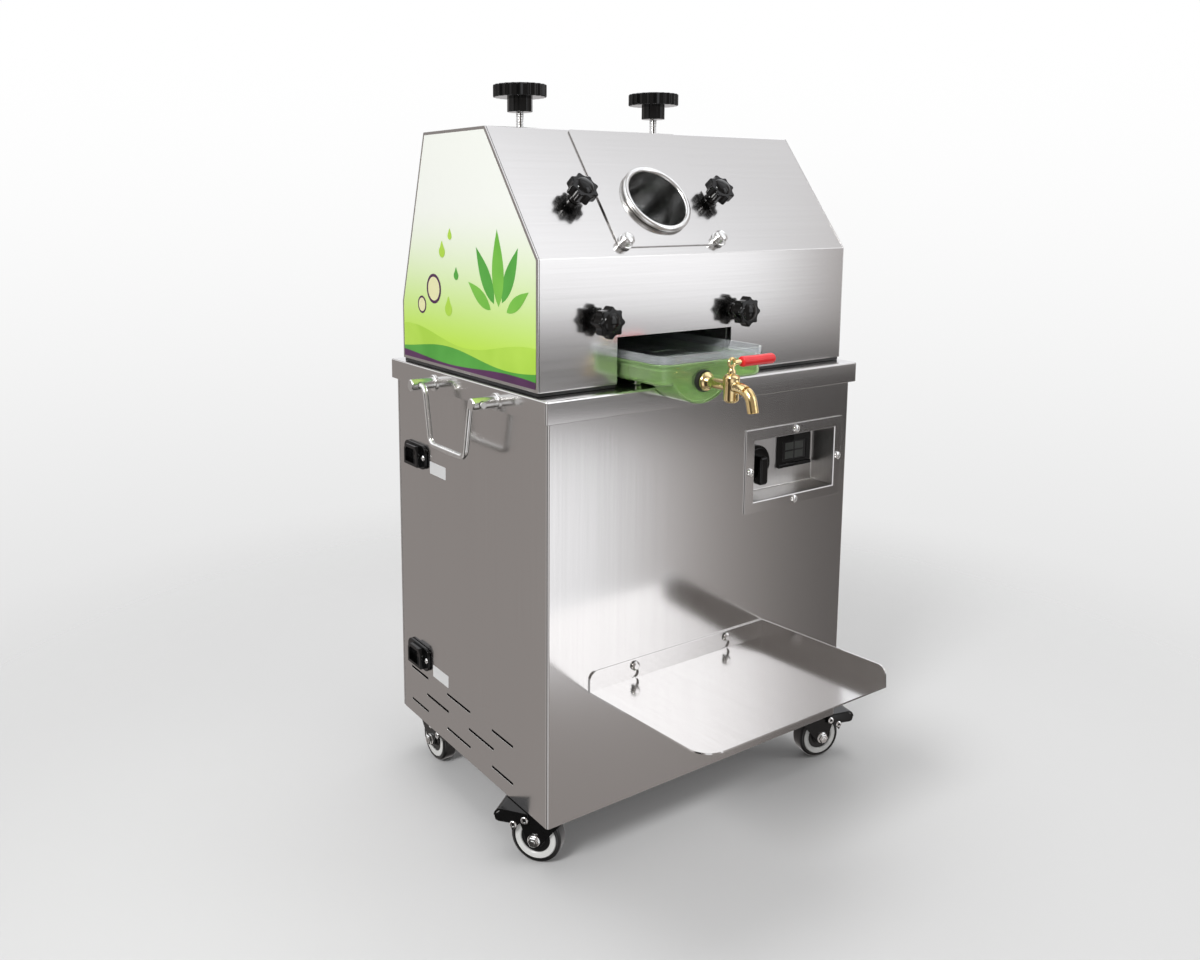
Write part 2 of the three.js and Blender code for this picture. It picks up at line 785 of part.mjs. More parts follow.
function makeControls() {
  const face = cabinetFront - gap;
  const front = face - bezelThickness;
  const back = cabinetFront + recessDepth;
  // The bezel's four sides slope up towards the opening
  const outer = bezelWidth - bezelSlopeWidth;
  const bezel = new THREE.ExtrudeGeometry(
    rectangle(recessLeft - outer, recessBottom - outer, recessRight + outer, recessTop + outer),
    { depth: bezelThickness, bevelThickness: bezelSlopeRise, bevelSize: bezelSlopeWidth, bevelSegments: 1 });
  const bezelPlate = cut(bezel.applyMatrix4(uprightAxes).translate(0, face + bezelSlopeRise, 0),
    box(recessLeft - bezelWidth - 1, recessRight + bezelWidth + 1, face, face + bezelThickness,
      recessBottom - bezelWidth - 1, recessTop + bezelWidth + 1));
  const tub = box(recessLeft - sheet, recessRight + sheet, face - 1, back + sheet,
    recessBottom - sheet, recessTop + sheet);
  const flare = new THREE.ExtrudeGeometry(rectangle(recessLeft, recessBottom, recessRight, recessTop),
    { depth: 1, bevelThickness: bezelThickness, bevelSize: bezelChamfer, bevelSegments: 1 })
    .applyMatrix4(uprightAxes).translate(0, front, 0);
  const hollow = join(flare, box(recessLeft, recessRight, face - 1, back, recessBottom, recessTop));
  const switchX = recessLeft + switchPlace;
  const middle = (recessBottom + recessTop) / 2;
  const meterX = recessRight - meterWidth / 2 - meterSideGap;
  const meterZ = recessTop - meterHeight / 2 - meterTopGap;
  const holeX = meterWidth / 2 - meterFrame;
  const holeZ = meterHeight / 2 - meterFrame;
  const meterHole = box(meterX - holeX, meterX + holeX, back - 1, back + sheet + 1,
    meterZ - holeZ, meterZ + holeZ);
  const switchHole = rodY(switchStemRadius + gap, back - 1, back + sheet + 1, switchX, middle);
  add('control_recess', cut(join(bezelPlate, tub), hollow, meterHole, switchHole), stainless());

  const meterFront = back - gap - meterProud;
  const bezelRing = prismY(rectangle(meterX - meterWidth / 2, meterZ - meterHeight / 2,
    meterX + meterWidth / 2, meterZ + meterHeight / 2, meterCorner), meterFront, back - gap);
  const windowX = meterWidth / 2 - meterEdge;
  const windowZ = meterHeight / 2 - meterEdge;
  const window = box(meterX - windowX, meterX + windowX, meterFront - 1, meterFront + meterWindowDepth,
    meterZ - windowZ, meterZ + windowZ);
  const meterBody = box(meterX - holeX + gap, meterX + holeX - gap, back - 2 * gap, back + meterDepth,
    meterZ - holeZ + gap, meterZ + holeZ - gap);
  add('battery_meter', cut(join(bezelRing, meterBody), window), blackGloss());

  const flangeFront = back - gap - switchFlangeThickness;
  const dial = turned([
    [0, gap], [switchFlangeRadius, gap], [switchFlangeRadius, gap + switchFlangeThickness - switchChamfer],
    [switchFlangeRadius - switchChamfer, gap + switchFlangeThickness], [0, gap + switchFlangeThickness],
  ], 32).rotateX(Math.PI / 2).translate(switchX, back, middle);
  const stem = rodY(switchStemRadius, back - 2 * gap, back + sheet + switchShaftLength, switchX, middle);
  const grip = prismY(rectangle(switchX - gripWidth / 2, middle - gripLength / 2,
    switchX + gripWidth / 2, middle + gripLength / 2, gripEndRadius),
    flangeFront - gripDepth, flangeFront + 1);
  add('switch_handle', join(dial, stem, grip), blackGloss());
}

// Jug shelf: floor with a back flange and a right flange, hung by two keyholes

function makeShelf() {
  const left = feedCentre - shelfWidth / 2;
  const right = feedCentre + shelfWidth / 2;
  const backFace = cabinetFront - gap;
  const flangeTop = shelfHeight + shelfFlange;
  const flangeBack = new THREE.Shape();
  flangeBack.moveTo(left, shelfHeight);
  flangeBack.lineTo(right, shelfHeight);
  flangeBack.lineTo(right, flangeTop);
  flangeBack.absarc(left + shelfFlangeRadius, flangeTop - shelfFlangeRadius, shelfFlangeRadius,
    Math.PI / 2, Math.PI, false);
  flangeBack.closePath();
  const back = prismY(flangeBack, backFace - sheet, backFace);

  // Floor and right flange lean up to the front together
  const front = -shelfDepth;
  const floorShape = new THREE.Shape();
  floorShape.moveTo(left, 0);
  floorShape.lineTo(left, front + shelfCornerRadius);
  floorShape.absarc(left + shelfCornerRadius, front + shelfCornerRadius, shelfCornerRadius,
    Math.PI, Math.PI * 1.5, false);
  floorShape.lineTo(right, front);
  floorShape.lineTo(right, 0);
  floorShape.closePath();
  const floor = prismZ(floorShape, 0, sheet, 6);
  const sideShape = new THREE.Shape();
  sideShape.moveTo(front, 0);
  sideShape.lineTo(0, 0);
  sideShape.lineTo(0, shelfFlange);
  sideShape.absarc(front + shelfFlangeRadius, shelfFlange - shelfFlangeRadius, shelfFlangeRadius,
    Math.PI / 2, Math.PI, false);
  sideShape.closePath();
  const side = prismX(sideShape, right - sheet, right);
  const lean = (geometry) => geometry.rotateX(-THREE.MathUtils.degToRad(shelfTilt))
    .translate(0, backFace - sheet / 2, shelfHeight);
  const behind = box(left - 1, right + 1, backFace, backFace + shelfFlange, shelfHeight - shelfFlange,
    flangeTop + shelfFlange);
  const tray = cut(join(back, lean(floor), lean(side)), behind);

  const holes = [];
  for (const end of [-1, 1]) {
    const x = feedCentre + end * studSpacing / 2;
    const top = flangeTop - studDrop;
    const slotHalf = studRadius + screwClearance;
    const cutFront = backFace - 2 * sheet;
    const cutBack = backFace + 1;
    holes.push(rodY(slotHalf, cutFront, cutBack, x, top, 16));
    holes.push(rodY(studHeadRadius + screwClearance, cutFront, cutBack, x, top - keyholeDrop, 20));
    holes.push(box(x - slotHalf, x + slotHalf, cutFront, cutBack, top - keyholeDrop, top));
  }
  add('jug_shelf', cut(tray, ...holes), stainless());
}

// Hood

const hoodOutline = [
  [hoodFront, hoodBase], [hoodRear, hoodBase], [hoodRear, rearKnee],
  [hoodTopRear, hoodTop], [hoodTopFront, hoodTop], [hoodFront, frontKnee],
];

function makeGasket() {
  const side = hoodSide - gasketInset;
  const front = hoodFront + gasketInset;
  const rear = hoodRear - gasketInset;
  const outer = prismZ(rectangle(-side, front, side, rear, 2), plateTop + gap, hoodBase - gap);
  const inner = prismZ(rectangle(-side + gasketWidth, front + gasketWidth,
    side - gasketWidth, rear - gasketWidth), plateTop - 1, hoodBase + 1);
  const half = tubOpeningWidth / 2 + 1;
  const doorway = box(feedCentre - half, feedCentre + half, hoodFront - 5, hoodFront + 2 * gasketWidth,
    plateTop - 1, hoodBase + 1);
  add('hood_gasket', cut(outer, inner, doorway), rubber());
}

function makeHood() {
  const fold = foldedShape([
    [hoodRear, hoodBase], [hoodRear, rearKnee], [hoodTopRear, hoodTop],
    [hoodTopFront, hoodTop], [hoodFront, frontKnee], [hoodFront, hoodBase],
  ], sheet, bendRadius);
  const end = hoodSide - sheet - gap;
  const skin = prismX(fold, -end, end);
  const half = tubOpeningWidth / 2;
  const cuts = [box(feedCentre - half, feedCentre + half, hoodFront - 5, hoodFront + 5,
    hoodBase - 5, plateTop + tubOpeningHeight)];
  cuts.push(onSlope(rodZ(tubeInner + tubeWall + tubeHoleMargin, -5, 5, feedCentre, inletAlong, 32)));
  cuts.push(box(feedCentre - outletWidth / 2, feedCentre + outletWidth / 2, hoodTopRear - outletRoof,
    hoodRear + 5, plateTop + outletLow, plateTop + outletHigh));
  for (const side of [-1, 1]) {
    const x = millCentre + side * millHalfWidth;
    cuts.push(rodY(shankRadius + gap, hoodFront - 5, hoodFront + 5, x, plateTop + lowerKnobHeight, 12));
    cuts.push(onSlope(rodZ(shankRadius + gap, -5, 5, x, upperKnobAlong, 12)));
    cuts.push(rodZ(screwRadius + 2 * screwClearance, hoodTop - 5, hoodTop + 5, x, 0, 16));
  }
  add('hood_shell', cut(skin, ...cuts), stainless());

  for (const [name, side] of [['hood_side_left', -1], ['hood_side_right', 1]]) {
    const outerFace = side * hoodSide;
    const innerFace = side * (hoodSide - sheet);
    const flangeEnd = side * (hoodSide - sheet - hoodFlange);
    const span = (a, b, shape) => prismX(shape, Math.min(a, b), Math.max(a, b));
    const panel = span(outerFace, innerFace, polygon(hoodOutline));
    const flangeOutline = insetOutline(hoodOutline, sheet + gap + bendRadius);
    const flange = cut(
      span(innerFace + side * 0.2, flangeEnd, polygon(flangeOutline)),
      span(innerFace + side, flangeEnd - side, polygon(insetOutline(flangeOutline, sheet))));
    add(name, join(panel, flange), stainless());
  }
}

function makeFeed() {
  const half = coverWidth / 2;
  const hole = rodZ(tubeInner + tubeWall + gap, -5, 10, feedCentre, inletAlong, 32);
  const plate = prismZ(rectangle(feedCentre - half, coverLow, feedCentre + half, slopeLength - sheet,
    coverCorner), gap, gap + sheet);
  add('feed_cover', cut(plate, hole), stainless(), slope);

  const wall = tubeInner + tubeWall;
  const rimHeight = 2 * gap + sheet + rimRadius;
  const tube = cut(rodZ(wall, -tubeLength, rimHeight, 0, 0, 32),
    rodZ(tubeInner, -tubeLength - 1, rimHeight + 9, 0, 0, 32));
  const rim = new THREE.TorusGeometry(wall + 1, rimRadius, 8, 32).translate(0, 0, rimHeight);
  const mesh = add('feed_tube', join(tube, rim), chrome(), slope);
  mesh.position.set(feedCentre, inletAlong, 0);
}

// Star knob on its screw: the panel's face is at z = 0 and the knob stands out along +Z

function starKnobGeometry(shankLength) {
  const headStart = knobNeckHeight;
  const headEnd = headStart + knobHeadHeight;
  const core = turned([
    [0, -shankLength], [shankRadius, -shankLength], [shankRadius, gap], [knobNeckRadius, gap],
    [knobNeckRadius, headEnd], [knobNeckRadius * 0.85, headEnd + knobDome * 0.55],
    [knobNeckRadius * 0.5, headEnd + knobDome * 0.9], [0, headEnd + knobDome],
  ], 14);
  const head = bevelledPrism(lobedShape(knobRadius - knobBevel, knobLobeDepth / 2, knobLobes, 5),
    headStart, headEnd, knobBevel);
  return join(core, head);
}

function makeKnobs() {
  for (const [label, side] of [['left', -1], ['right', 1]]) {
    const x = millCentre + side * millHalfWidth;
    const upper = add(`upper_knob_${label}`, starKnobGeometry(knobShank), blackGloss(), slope);
    upper.position.set(x, upperKnobAlong, 0);
    const lower = add(`lower_knob_${label}`, starKnobGeometry(knobShank), blackGloss());
    lower.position.set(x, hoodFront, plateTop + lowerKnobHeight);
    lower.rotation.x = Math.PI / 2;
  }
}

// Tensioning handwheels, each fused to the screw that presses on its bearing block

function makeHandwheels() {
  const top = hoodTop + wheelTopAboveHood;
  const rimLow = top - wheelHubStep - wheelRimHeight;
  const collarLow = rimLow - wheelCollarHeight;
  const blockTop = rollerHigh + blockHeight / 2;
  for (const [label, side] of [['left', -1], ['right', 1]]) {
    const rim = bevelledPrism(lobedShape(wheelRadius - wheelBevel, wheelFluteDepth / 2, wheelFlutes, 3),
      rimLow, rimLow + wheelRimHeight, wheelBevel);
    const collar = prismZ(lobedShape(wheelCollarRadius, wheelCollarRib, wheelCollarRibs, 3),
      collarLow, rimLow + 1);
    const screw = turned([
      [0, blockTop + gap], [screwRadius, blockTop + gap], [screwRadius, rimLow + 1],
      [wheelCollarRadius, rimLow + 1], [wheelCollarRadius, top - wheelHubStep / 2],
      [wheelCollarRadius - wheelHubStep, top], [0, top],
    ], 16);
    const mesh = add(`tension_handwheel_${label}`, join(rim, collar, screw), blackGloss());
    mesh.position.set(millCentre + side * millHalfWidth, 0, 0);
  }
}

// Roller mill: two side plates, sliding bearing blocks, three fluted rollers and their gears

function millPlateOutline() {
  // The front edge runs inside the hood's front and slope at one distance from both
  const inset = sheet + millFrontGap;
  const top = plateTop + millTop;
  const knee = frontKnee - inset * (1 - Math.sin(slopeAngle)) / Math.cos(slopeAngle);
  const topFront = hoodFront + (inset + (top - frontKnee) * Math.cos(slopeAngle)) / Math.sin(slopeAngle);
  return [
    [hoodFront + inset, plateTop + gap], [millRear, plateTop + gap], [millRear, rollerLow + millRearShoulder],
    [millRear - millRearTaper, top], [topFront, top], [hoodFront + inset, knee],
  ];
}

function makeMill() {
  const windowLow = rollerHigh - blockHeight / 2 - tensionTravel - 2 * gap;
  const windowHigh = rollerHigh + blockHeight / 2 + tensionTravel + 2 * gap;
  const shankEnd = knobShank + 1;
  for (const [label, side] of [['left', -1], ['right', 1]]) {
    const centre = millCentre + side * millHalfWidth;
    const x0 = centre - millPlate / 2;
    const x1 = centre + millPlate / 2;
    const plate = prismX(polygon(millPlateOutline()), x0, x1);
    const window = box(x0 - 1, x1 + 1, -blockWidth / 2 - gap, blockWidth / 2 + gap, windowLow, windowHigh);
    const bores = [-1, 1].map((end) =>
      rodX(journalRadius + gap, x0 - 1, x1 + 1, end * lowerRollerSpread, rollerLow, 24));
    const screwHole = rodZ(screwRadius + screwClearance, rollerHigh, plateTop + millTop + 1, centre, 0);
    const lowerHole = rodY(shankRadius + gap, hoodFront, hoodFront + shankEnd,
      centre, plateTop + lowerKnobHeight, 12);
    const upperHole = onSlope(rodZ(shankRadius + gap, -shankEnd, 0, centre, upperKnobAlong, 12));
    add(`mill_side_${label}`, cut(plate, window, ...bores, screwHole, lowerHole, upperHole), steel());

    const block = box(x0 + 1, x1 - 1, -blockWidth / 2, blockWidth / 2,
      rollerHigh - blockHeight / 2, rollerHigh + blockHeight / 2);
    const bore = rodX(journalRadius + gap, x0, x1, 0, rollerHigh, 24);
    add(`bearing_block_${label}`, cut(block, bore), brass());
  }
}

function fluteShape(radius) {
  return lobedShape(radius, rollerFluteDepth / 2, rollerFlutes, 3);
}

function makeRollers() {
  const barrelHalf = millInner - rollerEndGap;
  const gearEnd = millOuter + gearPlateGap + gearWidth + journalProud;
  const places = {
    top_roller: [0, rollerHigh, millOuter + journalProud],
    front_roller: [-lowerRollerSpread, rollerLow, millOuter + journalProud],
    rear_roller: [lowerRollerSpread, rollerLow, gearboxPlace - millCentre + quillDepth],
  };
  for (const [name, [y, z, rightEnd]] of Object.entries(places)) {
    const barrel = prismX(fluteShape(rollerRadius), -barrelHalf, barrelHalf);
    const shaft = rodX(journalRadius, -gearEnd, rightEnd, 0, 0, 20);
    const roller = add(name, join(barrel, shaft), steel());
    roller.position.set(millCentre, y, z);
  }
}

// Gear outline: straight-flanked long teeth, narrow enough to stay clear at both screw limits
function gearShape(phase) {
  const closest = Math.hypot(lowerRollerSpread, rollerHigh - tensionTravel - rollerLow);
  const pitchRadius = closest / 2;
  const outer = pitchRadius + gearWorkingDepth / 2;
  const root = pitchRadius - gearWorkingDepth / 2 - gearRootClearance;
  const step = Math.PI * 2 / gearTeeth;
  const tip = step * gearTipShare;
  const foot = step * gearFootShare;
  const points = [];
  for (let i = 0; i < gearTeeth; i++) {
    const middle = phase + i * step;
    for (const [radius, angle] of [[root, -foot], [outer, -tip], [outer, tip], [root, foot]]) {
      points.push([radius * Math.cos(middle + angle), radius * Math.sin(middle + angle)]);
    }
  }
  return polygon(points);
}

function makeGears() {
  const step = Math.PI * 2 / gearTeeth;
  const x1 = millCentre - millOuter - gearPlateGap;
  const x0 = x1 - gearWidth;
  const toFront = Math.atan2(rollerLow - rollerHigh, -lowerRollerSpread);
  const toRear = Math.atan2(rollerLow - rollerHigh, lowerRollerSpread);
  // The top gear has a tooth on the line to the rear gear; each lower gear has a gap facing it
  const topPhase = toRear;
  const frontGap = toFront + Math.PI;
  const topOffset = (toFront - topPhase) / step;
  const frontPhase = frontGap + step / 2 + (topOffset - Math.round(topOffset)) * step;
  const phases = {
    top_gear: [0, rollerHigh, topPhase],
    front_gear: [-lowerRollerSpread, rollerLow, frontPhase],
    rear_gear: [lowerRollerSpread, rollerLow, toRear + Math.PI + step / 2],
  };
  for (const [name, [y, z, phase]] of Object.entries(phases)) {
    const gear = cut(prismX(gearShape(phase), x0, x1), rodX(journalRadius + gap, x0 - 1, x1 + 1, 0, 0, 20));
    const mesh = add(name, gear, steel());
    mesh.position.set(0, y, z);
  }
}

// Drive: a gear motor whose hollow output sits on the rear roller's journal

function makeDrive() {
  const y = lowerRollerSpread;
  const z = rollerLow;
  const quill = gearboxPlace - quillLength;
  const gearboxEnd = gearboxPlace + gearboxLength;
  const motorEnd = hoodSide - sheet - gap - hoodFlange - motorSideGap;
  const motor = turned([
    [0, quill], [quillRadius, quill], [quillRadius, gearboxPlace],
    [gearboxRadius - motorChamfer, gearboxPlace], [gearboxRadius, gearboxPlace + motorChamfer],
    [gearboxRadius, gearboxEnd - motorChamfer],
    [gearboxRadius - motorChamfer, gearboxEnd], [motorRadius, gearboxEnd],
    [motorRadius, motorEnd - motorChamfer], [motorRadius - motorChamfer, motorEnd], [0, motorEnd],
  ], 24).rotateY(Math.PI / 2).translate(0, y, z);
  const low = plateTop + gap;
  const foot = box(gearboxPlace, gearboxEnd, y - footWidth / 2, y + footWidth / 2, low, low + footThickness);
  const waist = box(gearboxPlace + footStep, gearboxEnd - footStep, y - footWaist / 2, y + footWaist / 2,
    low, z - gearboxRadius / 2);
  const bore = rodX(journalRadius + gap, quill - 1, gearboxPlace + quillDepth + gap, y, z, 24);
  add('gear_motor', cut(join(motor, foot, waist), bore), greyPaint());
}

// Chute that carries the pressed cane from the rear nip out through the back of the hood

function makeChute() {
  const inside = [lowerRollerSpread + chuteStartBehind, rollerLow + chuteStartRise];
  const outside = [plateDepth / 2 - chuteEndSetback, plateTop + outletLow - chuteEndDrop];
  const length = Math.hypot(outside[0] - inside[0], outside[1] - inside[1]);
  const angle = Math.atan2(outside[1] - inside[1], outside[0] - inside[0]);
  const half = chuteWidth / 2;
  const channel = cut(
    box(feedCentre - half, feedCentre + half, 0, length, 0, chuteWall),
    box(feedCentre - half + sheet, feedCentre + half - sheet, -1, length + 1, sheet, chuteWall + 1));
  const bar = box(millCentre - millInner + gap, millCentre + millInner - gap,
    chuteBarPlace, chuteBarPlace + chuteBarSize, -chuteBarSize, 0.5);
  add('bagasse_chute', join(channel, bar).rotateX(angle).translate(0, inside[0], inside[1]), stainless());
}

// Juice tub with its sump, the strainer tray on its rim, and the tap

// A pan's outer or inner body with rounded bottom edges, flat on top
function panBody(halfWidth, y0, y1, z0, z1, corner, edge) {
  const outline = rectangle(-halfWidth + edge, y0 + edge, halfWidth - edge, y1 - edge, corner - edge);
  const body = new THREE.ExtrudeGeometry(outline,
    { depth: z1 - z0, bevelThickness: edge, bevelSize: edge, bevelSegments: 2, curveSegments: 2 })
    .translate(feedCentre, 0, z0 + edge);
  const below = box(feedCentre - halfWidth - 1, feedCentre + halfWidth + 1, y0 - 1, y1 + 1, z0 - 1, z1);
  return common(body, below);
}

function sumpBody(inset) {
  const radius = sumpRadius - inset;
  const axis = tubFloor - sumpDrop + sumpRadius;
  const back = -plateDepth / 2 - sumpSetback - inset;
  const drum = rodY(radius, tubFront + inset, back, sumpCentre, axis, 40);
  return common(drum, box(sumpCentre - sumpRadius, sumpCentre + sumpRadius, tubFront - 1, back + 1,
    tubFloor - sumpDrop - 1, tubFloor + tubFootRadius + 1));
}

function makeTub() {
  const rimOutline = rectangle(feedCentre - tubHalfWidth - tubRimWidth, tubFront - tubRimWidth,
    feedCentre + tubHalfWidth + tubRimWidth, tubRear + tubRimWidth, tubCorner + tubRimWidth);
  const rim = prismZ(rimOutline, tubRim - tubRimThickness, tubRim);
  const outer = join(panBody(tubHalfWidth, tubFront, tubRear, tubFloor, tubRim, tubCorner, tubFootRadius),
    rim, sumpBody(0));
  const inner = join(
    panBody(tubHalfWidth - tubWall, tubFront + tubWall, tubRear - tubWall, tubFloor + tubWall, tubRim + 1,
      tubCorner - tubWall, tubFootRadius - tubWall),
    sumpBody(tubWall));
  const tapHole = rodY(tapTailRadius + gap, tubFront - 5, tubFront + 5, tapCentre, plateTop + tapHeight, 20);
  add('juice_tub', cut(outer, inner, tapHole), greenClear());
}

function makeStrainer() {
  const low = tubRim + gap;
  const high = low + trayRise;
  const floorTop = low - trayDrop + trayFloor;
  const rimHalf = tubHalfWidth + trayRimProud;
  const plugInset = tubWall + 2 * gap;
  const plug = tubHalfWidth - plugInset;
  const shape = (half, inset, corner) => rectangle(feedCentre - half, tubFront + inset, feedCentre + half,
    tubRear - inset, corner);
  const outer = join(prismZ(shape(rimHalf, -trayRimProud, tubCorner + trayRimProud), low, high),
    prismZ(shape(plug, plugInset, tubCorner - plugInset), low - trayDrop, low + 1));
  const rimInset = trayRimWall - trayRimProud;
  const upperHollow = prismZ(shape(rimHalf - trayRimWall, rimInset, tubCorner - rimInset),
    low + trayLedge, high + 1);
  const wallInset = plugInset + trayWall;
  const lowerHollow = prismZ(shape(plug - trayWall, wallInset, tubCorner - wallInset), floorTop, high);
  const slots = [];
  const pitch = (tubRear - tubFront - 2 * traySlotMargin) / (traySlotRows - 1);
  for (let row = 0; row < traySlotRows; row++) {
    for (const side of [-1, 1]) {
      const x = feedCentre + side * (plug / 2 - 1);
      const y = tubFront + traySlotMargin + row * pitch;
      slots.push(box(x - traySlotLength / 2, x + traySlotLength / 2,
        y - traySlotWidth / 2, y + traySlotWidth / 2, low - trayDrop - 1, floorTop + 1));
    }
  }
  add('strainer_tray', cut(outer, upperHollow, lowerHollow, ...slots), clear());
}

function makeTap() {
  const z = plateTop + tapHeight;
  const washerBack = tubFront - gap;
  const washerFront = washerBack - tapWasherThickness;
  const washer = cut(rodY(tapWasherRadius, washerFront, washerBack, tapCentre, z, 28),
    rodY(tapTailRadius + gap, washerFront - 1, washerBack + 1, tapCentre, z, 20));
  add('tap_washer', washer, rubber());

  const flangeBack = washerFront - gap;
  const barrelY = tubFront - tapReach;
  const tailEnd = tubFront + tubWall + gap + tapNutThickness + tapTailProud;
  const flange = rodY(tapFlangeRadius, flangeBack - tapFlangeThickness, flangeBack, tapCentre, z, 28);
  const neck = rodY(tapNeckRadius, barrelY, flangeBack, tapCentre, z, 20);
  const tail = rodY(tapTailRadius, flangeBack - 1, tailEnd, tapCentre, z, 20);
  const barrelTop = z + tapBarrelAbove;
  const barrelLow = barrelTop - tapBarrelHeight;
  const collarRadius = tapBarrelRadius - tapCollarStep;
  const barrel = turned([
    [0, barrelLow], [tapBarrelRadius - tapBarrelChamfer, barrelLow],
    [tapBarrelRadius, barrelLow + tapBarrelChamfer],
    [tapBarrelRadius, barrelTop - 1 - tapCollarHeight], [collarRadius, barrelTop - 1],
    [collarRadius, barrelTop], [0, barrelTop],
  ], 24).translate(tapCentre, barrelY, 0);
  const spoutPoint = (reach, drop) => new THREE.Vector3(tapCentre, barrelY - reach, z - drop);
  const spoutPath = new THREE.CatmullRomCurve3([
    spoutPoint(-2, 0), spoutPoint(tapSpoutStraight, 0), spoutPoint(tapSpoutBend, tapSpoutBendDrop),
    spoutPoint(tapSpoutReach, tapSpoutDrop),
  ]);
  const section = new THREE.Shape().absarc(0, 0, tapSpoutRadius, 0, Math.PI * 2, false);
  const spout = new THREE.ExtrudeGeometry(section,
    { extrudePath: spoutPath, steps: 8, curveSegments: 5, bevelEnabled: false });
  const mouth = rodZ(tapBore, -tapBoreDepth / 2, tapBoreDepth / 2, 0, 0, 16)
    .rotateX(-THREE.MathUtils.degToRad(tapSpoutLean))
    .translate(tapCentre, barrelY - tapSpoutReach + 1, z - tapSpoutDrop - 2);
  const waterway = rodY(tapBore - 1, barrelY + 2, tailEnd + 1, tapCentre, z, 16);
  add('tap_body', cut(join(flange, neck, tail, barrel, spout), mouth, waterway), brass());

  const nutY = tubFront + tubWall + gap;
  const nut = cut(rodY(tapNutRadius, nutY, nutY + tapNutThickness, tapCentre, z, 6),
    rodY(tapTailRadius + gap, nutY - 1, nutY + tapNutThickness + 1, tapCentre, z, 20));
  add('tap_nut', nut, blackGloss());

  // Lever key: a stem with an eye on top, and a rod that carries the red grip
  const stemLow = barrelTop + gap;
  const leverZ = stemLow + tapStemHeight;
  const stem = rodZ(tapStemRadius, stemLow, leverZ, 0, 0, 16);
  const eye = new THREE.SphereGeometry(tapEyeRadius, 12, 8).translate(0, 0, leverZ);
  const rod = rodX(tapLeverRadius, 0, tapLeverLength - 2, 0, leverZ, 16);
  const key = add('tap_key', join(stem, eye, rod), brass());
  key.position.set(tapCentre, barrelY, 0);
  const gripStart = tapLeverLength - tapGripLength;
  const grip = cut(
    turned([
      [0, gripStart], [tapGripRadius - tapGripTipStep / 2, gripStart],
      [tapGripRadius, gripStart + tapGripRound], [tapGripRadius, tapLeverLength - tapGripRound],
      [tapGripRadius - tapGripTipStep, tapLeverLength], [0, tapLeverLength],
    ], 20).rotateY(Math.PI / 2).translate(0, 0, leverZ),
    rodX(tapLeverRadius + gap, gripStart - 1, tapLeverLength - 2 + gap, 0, leverZ, 16));
  const sleeve = add('tap_grip', grip, redPlastic());
  sleeve.position.copy(key.position);
}

// Casters: bolted swivel head, forked swivel body, wheel and brake pedal

